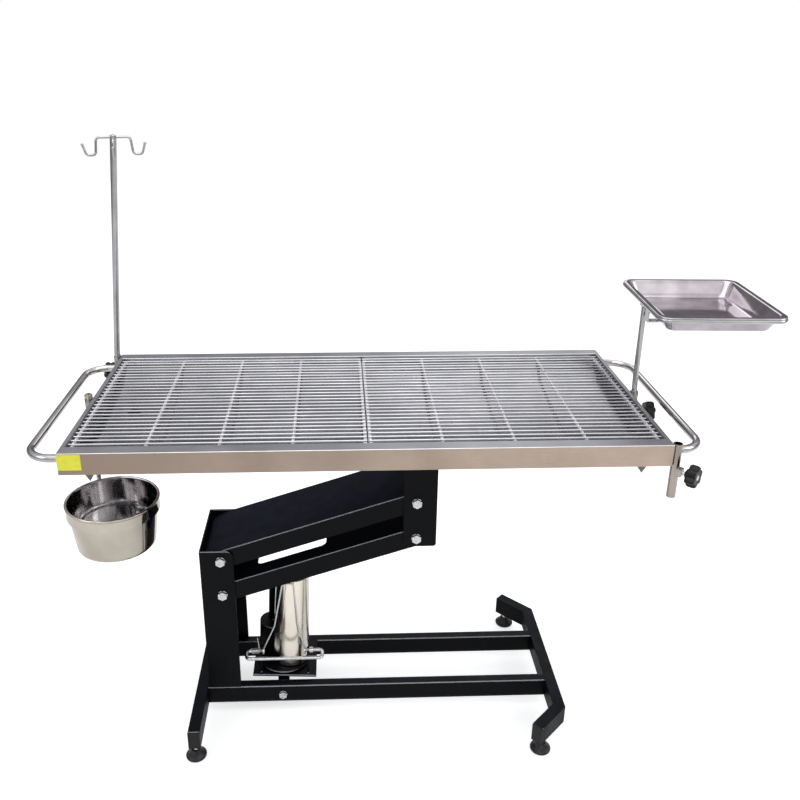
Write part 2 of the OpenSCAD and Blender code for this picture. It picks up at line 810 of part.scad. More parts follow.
// Upright socket for a post above a floor, with a hole for its clamping screw along the angle given.
module socket(x, y, bore, floor_t, screw_z, angle, screw) {
    difference() {
        translate([x, y, socket_z]) cylinder(h = socket_h, d = socket_d);
        translate([x, y, socket_z + floor_t]) cylinder(h = socket_h + eps, d = bore);
        if (screw)
            translate([x, y, screw_z]) rotate([0, 90, angle])
                cylinder(h = socket_d, d = screw_d + 2 * contact_gap);
    }
}

module corner_sockets() {
    color(steel) placed() {
        socket(end_socket_x, -corner_y, corner_bore, socket_floor, knob_z, -45, true);
        socket(-end_socket_x, corner_y, corner_bore, socket_floor, rear_knob_z, 135, true);
    }
}

module middle_sockets() {
    color(steel) placed() {
        socket(end_socket_x, 0, middle_bore, socket_floor, tray_knob_z, 0, true);
        socket(-end_socket_x, hanger_y, middle_bore, -eps, tray_knob_z, 0, false);
    }
}

// Clamps: socket axis, screw height, direction and the bore that the screw's tip stops at.
clamps = [
    [end_socket_x, -corner_y, knob_z, -45, corner_bore],
    [-end_socket_x, corner_y, rear_knob_z, 135, corner_bore],
    [end_socket_x, 0, tray_knob_z, 0, middle_bore]
];

module at_clamp(i) {
    translate([clamps[i][0], clamps[i][1], clamps[i][2]]) rotate([0, 90, clamps[i][3]]) children();
}

// Square nuts welded on the sockets, hollowed to the sockets' outer face.
nut_out = 18;
module socket_nuts() {
    color(steel) placed()
        for (i = [0 : 2])
            difference() {
                at_clamp(i) translate([-8.5, -8.5, socket_d / 2 - 4]) cube([17, 17, nut_out - socket_d / 2 + 4]);
                at_clamp(i) cylinder(h = nut_out + eps, d = screw_d + 2 * run_gap);
                translate([clamps[i][0], clamps[i][1], clamps[i][2] - 20]) cylinder(h = 40, d = socket_d);
            }
}

// Knob with six lobes and a boss towards the socket.
module knob(i) {
    lobe_d = 15;
    boss = 6;
    base = knob_reach - knob_h / 2;
    color(black_plastic) placed() at_clamp(i) difference() {
        union() {
            translate([0, 0, base]) cylinder(h = knob_h, d = knob_d - lobe_d + 2);
            translate([0, 0, base - boss]) cylinder(h = boss, d = 18);
            for (a = [0 : 60 : 300])
                rotate([0, 0, a]) translate([(knob_d - lobe_d) / 2, 0, base + 1])
                    cylinder(h = knob_h - 2, d = lobe_d);
        }
        translate([0, 0, base - boss - eps]) cylinder(h = boss + 12 + eps, d = screw_d);
    }
}

// Screw from just outside the bore into the knob.
module knob_screw(i) {
    tip = clamps[i][4] / 2 + contact_gap;
    end = knob_reach - knob_h / 2 + 12;
    color(zinc) placed() at_clamp(i) translate([0, 0, tip]) cylinder(h = end - tip, d = screw_d);
}

// Plain label on the front wall next to the left corner.
module label_plate() {
    color(yellow) placed() block([-top_x, -top_y - 0.6, top_z - 38.5], [-top_x + 50, -top_y, top_z - 2.5]);
}

// One half of the grille: side -1 is the left.
grille_z = ledge_z + cross_d / 2;
module grille_frame(side) {
    x0 = cross_first;
    x1 = cross_first + 4 * cross_pitch;
    corner = 12;
    inner_d = cross_d - 0.4;
    color(steel) placed() {
        bent_loop([
            [side * x0, -grille_side, grille_z], [side * x1, -grille_side, grille_z],
            [side * x1, grille_side, grille_z], [side * x0, grille_side, grille_z]
        ], cross_d, corner);
        for (i = [1 : 3])
            bar([side * (x0 + i * cross_pitch), -grille_side, grille_z],
                [side * (x0 + i * cross_pitch), grille_side, grille_z], inner_d);
    }
}

// Long rods of one half, welded on top of the frame.
module grille_rods(side) {
    z = grille_z + cross_d / 2 + rod_d / 2;
    tip = 5;
    x0 = cross_first - 3.5;
    x1 = cross_first + 4 * cross_pitch + tip;
    color(polished) placed()
        for (i = [0 : rod_count - 1]) {
            y = (i - (rod_count - 1) / 2) * rod_pitch;
            bar([side * x0, y, z], [side * x1, y, z], rod_d);
        }
}

// Pole that leaves its socket upright and then leans to the right.
pole_x = -end_socket_x;
pole_bottom = socket_z + socket_floor;
pole_bend_z = top_z + 10;
pole_tilt = atan2(pole_lean, hook_z - pole_bend_z);
hub_half = hook_d / 2 + 2.5;
module iv_pole() {
    length = (hook_z - pole_bend_z) / cos(pole_tilt) - hub_half;
    color(steel) placed() difference() {
        at_pole_bend(pole_tilt) translate([0, 0, -5]) cylinder(h = length + 5, d = pole_d);
        at_pole_bend(pole_tilt / 2) translate([-pole_d, -pole_d, -20]) cube([2 * pole_d, 2 * pole_d, 20]);
    }
}

// Upright foot of the pole, cut off on the same mitre.
module iv_pole_spigot() {
    color(steel) placed() difference() {
        translate([pole_x, corner_y, pole_bottom]) cylinder(h = pole_bend_z - pole_bottom + 5, d = pole_d);
        at_pole_bend(pole_tilt / 2) translate([-pole_d, -pole_d, 0]) cube([2 * pole_d, 2 * pole_d, 20]);
    }
}

module at_pole_bend(tilt) {
    translate([pole_x, corner_y, pole_bend_z]) rotate([0, tilt, 0]) children();
}

// Moves children to the pole's head, with Z along the leaning pole.
module at_pole_head() {
    translate([pole_x + pole_lean, corner_y, hook_z]) rotate([0, pole_tilt, 0]) children();
}

// Two crossing wires with a hook at each end, through a hub on the pole's head.
module iv_hooks() {
    drop = 42;
    bend = 9;
    top_bar = hook_span - 37;
    low_x = hook_span - 11;
    tip_x = hook_span - hook_d / 2;
    color(steel) placed() {
        for (k = [0, 1])
            translate([pole_x + pole_lean, corner_y, hook_z - 1.5 * k]) rotate([0, 0, 90 * k + hook_turn])
                wire_tube(bent_path([
                    [-tip_x, 0, 26 - drop], [-low_x, 0, -drop], [-top_bar - 4, 0, -drop], [-top_bar, 0, 0],
                    [top_bar, 0, 0], [top_bar + 4, 0, -drop], [low_x, 0, -drop], [tip_x, 0, 26 - drop]
                ], bend, 6), hook_d, [0, 1, 0], 12);
        at_pole_head() translate([0, 0, -hub_half]) cylinder(h = 2 * hub_half + 0.5, d = pole_d);
    }
}

// Post of the instrument tray with a small joggle above the rim.
post_top = tray_z - 18;
step_x = 2;
step_y = 8;
module tray_post() {
    color(steel) placed() kinked_bar([
        [end_socket_x, 0, pole_bottom], [end_socket_x, 0, top_z + 8],
        [end_socket_x + step_x, step_y, top_z + 34], [end_socket_x + step_x, step_y, post_top]
    ], post_d);
}

// Ring of round bar that the tray's rim rests on, with a plate on the post's top and a strap under the tray.
rim_t = 2;
ring_z = tray_z - rim_t - ring_d / 2;
strap_t = 3.5;
strap_x = end_socket_x + 1;
strap_y = [-34, -14];
strap_reach = 44;
strap_z = tray_z - tray_h - contact_gap;
seat_side = 12;
module tray_holder() {
    l = tray_l + 2 * ring_out - ring_d;
    w = tray_w + 2 * ring_out - ring_d;
    color(steel) placed() {
        translate([tray_x, tray_y, 0]) rotate([0, 0, -tray_turn]) bent_loop([
            [-w / 2, -l / 2, ring_z], [w / 2, -l / 2, ring_z], [w / 2, l / 2, ring_z], [-w / 2, l / 2, ring_z]
        ], ring_d, ring_corner - ring_d / 2);
        block([end_socket_x - 5, step_y - seat_side, post_top], [strap_x, step_y + seat_side, ring_z - 1]);
        block([strap_x - strap_t, strap_y[0], strap_z - strap_t], [strap_x, strap_y[1], ring_z]);
        block([strap_x - strap_t, strap_y[0], strap_z - strap_t], [strap_x + strap_reach, strap_y[1], strap_z]);
    }
}

// Rounded rectangle slab for the tray's blends.
module tray_slab(l, w, r, t) {
    linear_extrude(t) round_rect(w, l, r);
}

// Pressed tray with sloping sides and a flat rim.
module instrument_tray() {
    wall = 1.2;
    in_l = tray_l - 2 * ring_d - 5;
    in_w = tray_w - 2 * ring_d - 5;
    low_l = in_l - 40;
    low_w = in_w - 40;
    color(polished) placed() translate([tray_x, tray_y, tray_z - tray_h]) rotate([0, 0, -tray_turn])
        difference() {
            union() {
                hull() {
                    tray_slab(low_l, low_w, tray_r - 8, 0.5);
                    translate([0, 0, tray_h - rim_t]) tray_slab(in_l, in_w, tray_r - 8, rim_t);
                }
                translate([0, 0, tray_h - rim_t]) tray_slab(tray_l, tray_w, tray_r, rim_t);
            }
            hull() {
                translate([0, 0, wall]) tray_slab(low_l - 2 * wall, low_w - 2 * wall, tray_r - 9, 0.5);
                translate([0, 0, tray_h + eps]) tray_slab(in_l - wall, in_w - wall, tray_r - 9, 0.5);
            }
        }
}

// Bucket's place: its bead just clears the hanger's rod.
hoop_t = 2;
bead_d = 7;
hoop_top = bucket_z - bead_d / 2;
hoop_r = bucket_r + 0.1;
hoop_h = 25;
hanger_reach = bucket_r + 0.5 + bead_d / 2 + contact_gap + hanger_d / 2;
bucket_dir = unit([57.7, -102.9]);
bucket_x = -end_socket_x + bucket_dir[0] * hanger_reach;
bucket_y = hanger_y + bucket_dir[1] * hanger_reach;

module bucket_hanger() {
    collar_d = 19;
    collar_h = 8;
    collar_z = socket_z + socket_h;
    color(steel) placed() {
        translate([-end_socket_x, hanger_y, hoop_top - hoop_h])
            cylinder(h = collar_z - hoop_top + hoop_h, d = hanger_d);
        translate([-end_socket_x, hanger_y, collar_z]) cylinder(h = collar_h, d = collar_d);
        translate([-end_socket_x, hanger_y, collar_z + collar_h]) cylinder(h = 3, d = hanger_d);
        translate([bucket_x, bucket_y, hoop_top - hoop_h]) {
            difference() {
                cylinder(h = hoop_h, r = hoop_r + hoop_t);
                translate([0, 0, -eps]) cylinder(h = hoop_h + 2 * eps, r = hoop_r);
            }
            rotate([0, 0, atan2(-bucket_dir[1], -bucket_dir[0])]) translate([hoop_r + hoop_t / 2, -4, 2])
                cube([hanger_reach - hoop_r - hoop_t / 2 - 1, 8, hoop_h - 4]);
        }
    }
}

// Spun bucket with a beaded rim and a rounded foot.
module bucket() {
    wall = 1.2;
    foot = 12;
    bead_r = bead_d / 2;
    bottom = bucket_z + bead_r - bucket_h;
    color(polished) placed() translate([bucket_x, bucket_y, 0]) rotate_extrude($fn = 96) {
        difference() {
            union() {
                polygon([
                    [0, bottom], [bucket_foot_r - foot, bottom], [bucket_foot_r - foot * 0.29, bottom + foot * 0.29],
                    [bucket_foot_r, bottom + foot], [bucket_r - 0.6, bucket_z], [0, bucket_z]
                ]);
                translate([bucket_foot_r - foot, bottom + foot]) circle(r = foot);
            }
            polygon([
                [-1, bottom + wall], [bucket_foot_r - foot, bottom + wall],
                [bucket_foot_r - foot * 0.29 - wall, bottom + foot * 0.29 + wall * 0.7],
                [bucket_foot_r - wall, bottom + foot], [bucket_r - 0.6 - wall, bucket_z + 1], [-1, bucket_z + 1]
            ]);
        }
        translate([bucket_r + 0.5, bucket_z]) circle(r = bead_r);
    }
}

// Moves children from the pump's own axes (Z along the ram, origin at the cradle bolt).
module on_pump() {
    placed() translate([cradle_x, 0, cradle_z]) rotate([0, pump_lean, 0]) children();
}

// Heights along the pump's axis.
cradle_top = 39;
base_t = 6;
body_z = cradle_top + base_t;
cylinder_top = 285;
cover_top = 313;
bore_z = body_z + 8;
cradle_y = 75;
lug_left_x = -276;
lug_right_x = -152;

// Plate with two ears on the cradle bolt and two lugs for the pedal.
module pump_cradle() {
    ear_t = 5;
    ear_w = 44;
    lug_w = 18;
    lug_thick = 5;
    color(black_paint) {
        on_pump() {
            block([-82, -cradle_y, cradle_top - base_t + 1], [86, cradle_y, cradle_top]);
            for (s = [-1, 1])
                difference() {
                    union() {
                        bar_y(0, 0, s > 0 ? cradle_y - ear_t : -cradle_y, s > 0 ? cradle_y : -cradle_y + ear_t, ear_w - 14);
                        block([-(ear_w - 14) / 2, s > 0 ? cradle_y - ear_t : -cradle_y, 0],
                              [(ear_w - 14) / 2, s > 0 ? cradle_y : -cradle_y + ear_t, cradle_top - 1]);
                    }
                    bar_y(0, 0, -cradle_y - eps, cradle_y + eps, cradle_d + 2 * run_gap);
                }
        }
        placed()
            for (x = [lug_left_x, lug_right_x]) {
                low = cradle_z + cradle_top - 3 - (x - cradle_x) * tan(pump_lean);
                difference() {
                    translate([x - lug_thick / 2, pedal_y, 0]) {
                        translate([0, -lug_w / 2, low]) cube([lug_thick, lug_w, pedal_z - low]);
                        translate([0, 0, pedal_z]) rotate([0, 90, 0]) cylinder(h = lug_thick, d = lug_w);
                    }
                    translate([x - 10, pedal_y, pedal_z]) rotate([0, 90, 0])
                        cylinder(h = 20, d = tread_d + 2 * run_gap);
                }
            }
    }
}

// Round base casting.
module pump_base() {
    color(black_paint) on_pump() translate([-3, 0, cradle_top]) cylinder(h = base_t, d = 142);
}

// Cylinder with the ram's bore.
module pump_cylinder() {
    color(steel) on_pump() translate([pump_offset, 0, 0]) difference() {
        translate([0, 0, body_z]) cylinder(h = cylinder_top - body_z, d = 76);
        translate([0, 0, bore_z]) cylinder(h = cylinder_top, d = ram_d + 2 * run_gap);
    }
}

// Oil reservoir behind the cylinder, cut out where the cover passes.
module pump_reservoir() {
    tall = [-26, 66];
    color(black_paint) on_pump() difference() {
        union() {
            translate([tall[0], tall[1], body_z]) cylinder(h = 205, d = 50);
            translate([tall[0] - 10, tall[1] - 20, body_z]) cylinder(h = 80, d = 74);
        }
        translate([pump_offset, 0, body_z - eps]) cylinder(h = 300, d = cover_d0 + 5);
        block([-120, cradle_y + 20, 0], [60, cradle_y + 80, 400]);
    }
}

// Ram with its head: a disc under the cover's top and an eye for the ram pin.
module ram_rod() {
    eye_d = 34;
    eye_half = lug_y - 3;
    eye_bore = ram_pin_d + 5;
    color(polished) on_pump() translate([pump_offset, 0, 0]) difference() {
        union() {
            translate([0, 0, bore_z + 4]) cylinder(h = cover_top - 8 - bore_z - 4, d = ram_d);
            translate([0, 0, cover_top - 8]) cylinder(h = 5, d = 60);
            translate([0, 0, cover_top - 3]) cylinder(h = 6, d = 30);
            bar_y(0, ram_reach, -eye_half, eye_half, eye_d);
            block([-eye_d / 2 + 2, -eye_half, cover_top + 1], [eye_d / 2 - 2, eye_half, ram_reach]);
        }
        bar_y(0, ram_reach, -eye_half - eps, eye_half + eps, eye_bore);
    }
}

// Polished cover that rises with the ram.
module ram_cover() {
    wall = 1.5;
    low = body_z + 3;
    color(polished) on_pump() translate([pump_offset, 0, 0]) rotate_extrude($fn = 96) polygon([
        [cover_d0 / 2 - wall, low], [cover_d0 / 2, low], [cover_d1 / 2, cover_top - 2],
        [cover_d1 / 2 - 2, cover_top], [15, cover_top], [15, cover_top - 3],
        [cover_d1 / 2 - 3, cover_top - 3], [cover_d1 / 2 - 3 - wall / 2, cover_top - 5]
    ]);
}

// Foot pedal: a front bar whose ends turn back and then inwards through the lugs.
tread_d = 9;
tread_left = -312;
tread_right = -113;
tread_front = -87;
module pedal_tread() {
    color(zinc) placed() {
        bent_bar([
            [lug_left_x + 8, pedal_y, pedal_z], [tread_left, pedal_y, pedal_z],
            [tread_left, tread_front, pedal_z], [tread_right, tread_front, pedal_z],
            [tread_right, pedal_y, pedal_z], [lug_right_x - 8, pedal_y, pedal_z]
        ], tread_d, 11);
        translate([lug_right_x + 5, pedal_y, pedal_z]) rotate([0, 90, 0]) cylinder(h = 9, d = 16);
    }
}

// Return spring round the pedal's left hinge end: one wire wound by a formula.
spring_wire = 2.4;
spring_turns = 6;
spring_pitch = 3.4;
spring_rings = 8;
spring_gap = 0.4;
spring_r = (tread_d / 2 + spring_wire / 2 + spring_gap) / cos(180 / spring_rings);
spring_x0 = lug_left_x - 25.2;
function spring_centre(i) = let (a = 90 - 360 * i / spring_rings)
    [spring_x0 + spring_pitch * i / spring_rings, pedal_y + spring_r * cos(a), pedal_z + spring_r * sin(a)];
spring_path = concat(
    [[spring_x0, pedal_y - 26, pedal_z + 24], [spring_x0, pedal_y - 4, pedal_z + spring_r + 0.5]],
    [for (i = [0 : spring_turns * spring_rings]) spring_centre(i)],
    [[spring_x0 + spring_pitch * spring_turns, pedal_y + 4, pedal_z + spring_r + 4],
     [spring_x0 + spring_pitch * spring_turns - 4, pedal_y + 8, pedal_z + 36]]
);

module pedal_spring() {
    color(zinc) placed() wire_tube(spring_path, spring_wire, [1, 0, 0], 6);
}

// Thin bail that leans on the cover and lowers the table when it is pulled forward.
wire_d = 4.5;
wire_mid_x = -207;
module release_wire() {
    eye = wire_d + 9;
    hub_l = lug_left_x + 5;
    hub_r = lug_right_x - 11;
    mid_y = pedal_y + 4;
    color(zinc) placed() {
        for (s = [-1, 1]) {
            x_low = s < 0 ? hub_l : hub_r;
            difference() {
                translate([x_low, pedal_y, pedal_z]) rotate([0, 90, 0]) cylinder(h = 5, d = eye + 5);
                translate([x_low - 1, pedal_y, pedal_z]) rotate([0, 90, 0])
                    cylinder(h = 7, d = tread_d + 2 * run_gap);
            }
        }
        wire_tube(bent_path([
            [hub_l + 2.5, pedal_y - 1, pedal_z + 7], [wire_mid_x - 31, mid_y, 240], [wire_mid_x - 6, mid_y, 372],
            [wire_mid_x + 22, mid_y, 372], [wire_mid_x + 31, mid_y, 240], [hub_r + 2.5, pedal_y - 1, pedal_z + 7]
        ], 8, 5), wire_d, [0, 1, 0], 10);
    }
}

foot_bar_left();
foot_bar_right();
base_rail(-1);  // base_rail_front
base_rail(1);  // base_rail_rear
bar_end_caps();
column();
column_pivot_bolts();
foot_lock_nuts();
cradle_bolt();
levelling_foot(0);  // levelling_foot_front_left
levelling_foot(1);  // levelling_foot_rear_left
levelling_foot(2);  // levelling_foot_front_right
levelling_foot(3);  // levelling_foot_rear_right
lower_arm();
lower_arm_sleeves();
push_bracket();
ram_pin();
upper_arm();
upper_arm_sleeves();
table_bracket();
table_pivot_bolts();
support_rails();
support_crosses();
edge_stiffeners();
tray_shell();
basin();
drain_spout();
handle(-1);  // handle_left
handle(1);  // handle_right
corner_sockets();
middle_sockets();
socket_nuts();
label_plate();
grille_frame(-1);  // grille_frame_left
grille_rods(-1);  // grille_rods_left
grille_frame(1);  // grille_frame_right
grille_rods(1);  // grille_rods_right
knob(0);  // knob_front_right
knob_screw(0);  // knob_screw_front_right
knob(1);  // knob_rear_left
knob_screw(1);  // knob_screw_rear_left
knob(2);  // knob_tray
knob_screw(2);  // knob_screw_tray
iv_pole();
iv_pole_spigot();
iv_hooks();
tray_post();
tray_holder();
instrument_tray();
bucket_hanger();
bucket();
pump_cradle();
pump_base();
pump_cylinder();
pump_reservoir();
ram_rod();
ram_cover();
pedal_tread();
pedal_spring();
release_wire();
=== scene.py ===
"""Veterinary surgery table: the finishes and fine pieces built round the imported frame.

Places are written in millimetres of the tabletop's own frame, whose middle is X = Y = 0 on the floor,
and `place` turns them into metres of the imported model: SHIFT is that frame's origin in it. SOCKETS holds
the axes of the four clamping sockets, BASE_FACE is the half width over the base's rails, the column and
the bracket, PITCH is that of every thread, and edges that turn by more than SHARP radians are folds.
"""

import logging
import math
from dataclasses import dataclass, field
from enum import Enum
from typing import Callable, Sequence

import bmesh
import bpy
from mathutils import Matrix, Vector


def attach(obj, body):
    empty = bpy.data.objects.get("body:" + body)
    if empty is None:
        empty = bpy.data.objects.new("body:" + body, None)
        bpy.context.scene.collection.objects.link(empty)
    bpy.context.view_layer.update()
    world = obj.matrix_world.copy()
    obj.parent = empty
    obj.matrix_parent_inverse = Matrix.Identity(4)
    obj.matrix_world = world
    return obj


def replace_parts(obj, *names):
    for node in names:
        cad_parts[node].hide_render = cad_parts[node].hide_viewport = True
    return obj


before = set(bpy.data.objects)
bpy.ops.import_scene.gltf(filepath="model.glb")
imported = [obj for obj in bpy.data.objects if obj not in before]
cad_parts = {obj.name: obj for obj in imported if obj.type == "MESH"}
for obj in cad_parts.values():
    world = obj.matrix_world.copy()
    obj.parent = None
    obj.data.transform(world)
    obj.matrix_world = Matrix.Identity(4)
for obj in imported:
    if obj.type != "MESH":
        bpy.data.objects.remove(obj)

Tree = bpy.types.NodeTree
Socket = bpy.types.NodeSocket
Node = bpy.types.Node
Piece = bpy.types.Object
Shape = bmesh.types.BMesh
Vert = bmesh.types.BMVert
Edge = bmesh.types.BMEdge
Pair = tuple[float, float]
Triple = tuple[float, float, float]

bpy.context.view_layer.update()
SHIFT = Vector((-104.1659, -10.5706, 0.0))
X, Y, Z = Vector((1, 0, 0)), Vector((0, 1, 0)), Vector((0, 0, 1))
WHITE = (1.0, 1.0, 1.0, 1.0)
SHARP = 0.6
BASE_FACE = 103.0
PITCH = 1.5
SOCKETS = {
    "front_right": (660.0, -290.0),
    "rear_left": (-660.0, 290.0),
    "tray": (660.0, 0.0),
    "bucket": (-660.0, -2.0),
}
log = logging.getLogger("surgery_table")


def place(x: float, y: float, z: float) -> Vector:
    """A point of the tabletop's frame in millimetres, as a place in metres."""
    return (Vector((x, y, z)) + SHIFT) / 1000


def linear(code: str) -> tuple[float, float, float, float]:
    """An sRGB hex colour as linear red, green, blue and alpha."""
    parts = [int(code[i : i + 2], 16) / 255 for i in (1, 3, 5)]
    return tuple(c / 12.92 if c <= 0.04045 else ((c + 0.055) / 1.055) ** 2.4 for c in parts) + (1.0,)


def per_mm(size: float) -> float:
    """The texture scale whose features are size millimetres across on Object coordinates."""
    return 1000 / size


def cleared(owner: bpy.types.Material | bpy.types.World) -> Tree:
    """The emptied node tree of a new material or world."""
    owner.use_nodes = True
    owner.node_tree.nodes.clear()
    return owner.node_tree


def add(tree: Tree, kind: str, values: dict | None = None, links: dict | None = None) -> Node:
    """Adds a node with its settings and links.

    Args:
        tree: The node tree to add to.
        kind: The node's type, without the ShaderNode that starts all of them.
        values: Input names or numbers, or property names, and what each is set to.
        links: Input names or numbers, and the output socket that each reads.

    Returns:
        The new node.
    """
    node = tree.nodes.new("ShaderNode" + kind)
    for key, value in (values or {}).items():
        if isinstance(key, str) and hasattr(node, key):
            setattr(node, key, value)
        else:
            node.inputs[key].default_value = value
    for key, socket in (links or {}).items():
        tree.links.new(socket, node.inputs[key])
    return node


class Grain(Enum):
    """The way that a grinding belt ran, as the scale of its scratches along X, Y and Z."""

    ALONG_X = (0.012, 1.0, 1.0)
    ALONG_Z = (1.0, 1.0, 0.012)


@dataclass(frozen=True)
class Finish:
    """A surface finish; each kind wires its own shader."""

    name: str
    color: str
    roughness: float

    def material(self) -> bpy.types.Material:
        """The finish's material, made once and then shared."""
        made = bpy.data.materials.get(self.name)
        if made:
            return made
        made = bpy.data.materials.new(self.name)
        tree = cleared(made)
        coords = add(tree, "TexCoord").outputs["Object"]
        plain = {"Base Color": linear(self.color), "Roughness": self.roughness}
        shader = add(tree, "BsdfPrincipled", plain)
        self.wire(tree, coords, shader)
        add(tree, "OutputMaterial", links={"Surface": shader.outputs[0]})
        made.diffuse_color = linear(self.color)
        return made

    def wire(self, tree: Tree, coords: Socket, shader: Node) -> None:
        """Adds what the finish has beyond its plain colour and roughness."""
        raise NotImplementedError


def noise(tree: Tree, coords: Socket, size: float, detail: float = 3.0) -> Socket:
    """A noise whose features are size millimetres across, as its value socket."""
    made = add(tree, "TexNoise", {"Scale": per_mm(size), "Detail": detail}, {"Vector": coords})
    return made.outputs["Fac"]


def spread(
    tree: Tree, value: Socket, low: float, high: float, least: float = 0.3, most: float = 0.7
) -> Socket:
    """Maps a value between least and most onto low and high, and keeps it between them."""
    settings = {"From Min": least, "From Max": most, "To Min": low, "To Max": high}
    return add(tree, "MapRange", settings, {"Value": value}).outputs["Result"]


def blend_color(tree: Tree, factor: Socket, low: str, high: str) -> Socket:
    """Mixes two hex colours by a factor."""
    ramp = add(tree, "Mix", {"data_type": "RGBA", 6: linear(low), 7: linear(high)}, {0: factor})
    return ramp.outputs[2]


def relief(tree: Tree, height: Socket, depth_mm: float, shader: Node, strength: float) -> None:
    """Bumps the shader's normal by a height of depth_mm."""
    settings = {"Strength": strength, "Distance": depth_mm / 1000}
    bump = add(tree, "Bump", settings, {"Height": height})
    tree.links.new(bump.outputs["Normal"], shader.inputs["Normal"])


@dataclass(frozen=True)
class PowderCoat(Finish):
    """Mild steel with a baked black powder coat: orange peel, dust with a painted bluish sheen on what faces
    up, and a painted highlight on the upper folds.
    """

    dust_and_sheen: str = "#090d18"
    paler_tone: str = "#d4d5d8"
    peel_mm: float = 1.6
    fold_mm: float = 5.0

    def wire(self, tree: Tree, coords: Socket, shader: Node) -> None:
        """Orange peel as bump, marks in the gloss, dust and a painted bluish sheen on what faces up, and a
        painted highlight on the front folds.
        """
        normal = add(tree, "NewGeometry").outputs["Normal"]
        # Upward faces take, in patches, a colour that is dust plus a painted bluish sheen of the light from
        # above.
        upward = add(tree, "SeparateXYZ", links={0: normal})
        lying = spread(tree, upward.outputs["Z"], 0.0, 1.0, 0.45, 0.95)
        patch = spread(tree, noise(tree, coords, 55.0, 5.0), 0.25, 1.0)
        both = add(tree, "Math", {"operation": "MULTIPLY"}, {0: lying, 1: patch}).outputs[0]
        coat = blend_color(tree, both, self.color, self.dust_and_sheen)
        # Painted highlight: folds whose rounded normal leans to the front and up, towards the lamps, are
        # mixed to a pale grey.
        fold = add(tree, "Bevel", {"samples": 6, "Radius": self.fold_mm / 1000}).outputs[0]
        facing = {"operation": "DOT_PRODUCT", 1: (0.0, -0.707, 0.707)}
        leaning = add(tree, "VectorMath", facing, {0: fold}).outputs["Value"]
        fold_highlight = spread(tree, leaning, 0.0, 1.0, 0.88, 0.96)
        paler_tone = {"data_type": "RGBA", 7: linear(self.paler_tone)}
        highlighted = add(tree, "Mix", paler_tone, {0: fold_highlight, 6: coat}).outputs[2]
        tree.links.new(highlighted, shader.inputs["Base Color"])
        gloss = spread(tree, noise(tree, coords, 38.0, 6.0), self.roughness - 0.05, self.roughness + 0.09)
        tree.links.new(gloss, shader.inputs["Roughness"])
        shader.inputs["Specular IOR Level"].default_value = 0.1
        relief(tree, noise(tree, coords, self.peel_mm, 2.0), 0.05, shader, 0.35)


@dataclass(frozen=True)
class BrushedSteel(Finish):
    """Stainless sheet ground with a belt: scratches, faint cloudy stains and a painted shade that darkens the
    left end.
    """

    shade: str
    grain: Grain = Grain.ALONG_X
    line_mm: float = 0.9
    depth_mm: float = 0.02
    left_end_shade: str = ""

    def wire(self, tree: Tree, coords: Socket, shader: Node) -> None:
        """Scratches line_mm apart and some 80 times as long along the grain, over slow clouds."""
        shader.inputs["Metallic"].default_value = 1.0
        along = add(tree, "Mapping", {"Scale": self.grain.value}, {"Vector": coords}).outputs[0]
        lines = noise(tree, along, self.line_mm, 2.0)
        clouds = noise(tree, coords, 140.0, 4.0)
        tone = add(tree, "Math", {"operation": "MULTIPLY_ADD", 1: 0.45}, {0: lines, 2: clouds})
        factor = spread(tree, tone.outputs[0], 0.0, 1.0, 0.55, 0.95)
        tone = blend_color(tree, factor, self.shade, self.color)
        # Painted shade: the colour darkens towards the left end of the sheet.
        if self.left_end_shade:
            rightward = add(tree, "SeparateXYZ", links={0: coords}).outputs["X"]
            bright = spread(tree, rightward, 0.0, 1.0, -0.8, 0.3)
            mixed = {"data_type": "RGBA", 6: linear(self.left_end_shade)}
            tone = add(tree, "Mix", mixed, {0: bright, 7: tone}).outputs[2]
        tree.links.new(tone, shader.inputs["Base Color"])
        rough = spread(tree, lines, self.roughness - 0.05, self.roughness + 0.1)
        tree.links.new(rough, shader.inputs["Roughness"])
        relief(tree, lines, self.depth_mm, shader, 0.4)


@dataclass(frozen=True)
class PolishedSteel(Finish):
    """Stainless polished bright: near mirror, with wiping marks that dull it in patches."""

    shade: str
    wipe_mm: float
    wave_mm: float = 0.0

    def wire(self, tree: Tree, coords: Socket, shader: Node) -> None:
        """Patchy gloss, faint tone changes and, on pressed sheet, a slow waviness."""
        shader.inputs["Metallic"].default_value = 1.0
        wipes = noise(tree, coords, self.wipe_mm, 7.0)
        tone = blend_color(tree, spread(tree, wipes, 0.0, 1.0), self.shade, self.color)
        tree.links.new(tone, shader.inputs["Base Color"])
        tree.links.new(spread(tree, wipes, self.roughness, self.roughness + 0.07), shader.inputs["Roughness"])
        if self.wave_mm:
            relief(tree, noise(tree, coords, self.wave_mm, 1.0), 0.5, shader, 0.25)


@dataclass(frozen=True)
class ZincPlate(Finish):
    """Steel with bright zinc plate: a bluish white with a faint crystal bloom."""

    shade: str = "#bcbec2"
    bloom_mm: float = 3.5

    def wire(self, tree: Tree, coords: Socket, shader: Node) -> None:
        """The bloom is a cell pattern in colour and gloss."""
        shader.inputs["Metallic"].default_value = 1.0
        bloom = add(tree, "TexVoronoi", {"Scale": per_mm(self.bloom_mm)}, {"Vector": coords})
        cells = bloom.outputs["Distance"]
        factor = spread(tree, cells, 0.0, 1.0, 0.1, 0.8)
        tree.links.new(blend_color(tree, factor, self.color, self.shade), shader.inputs["Base Color"])
        rough = spread(tree, cells, self.roughness, self.roughness + 0.12, 0.0, 0.8)
        tree.links.new(rough, shader.inputs["Roughness"])


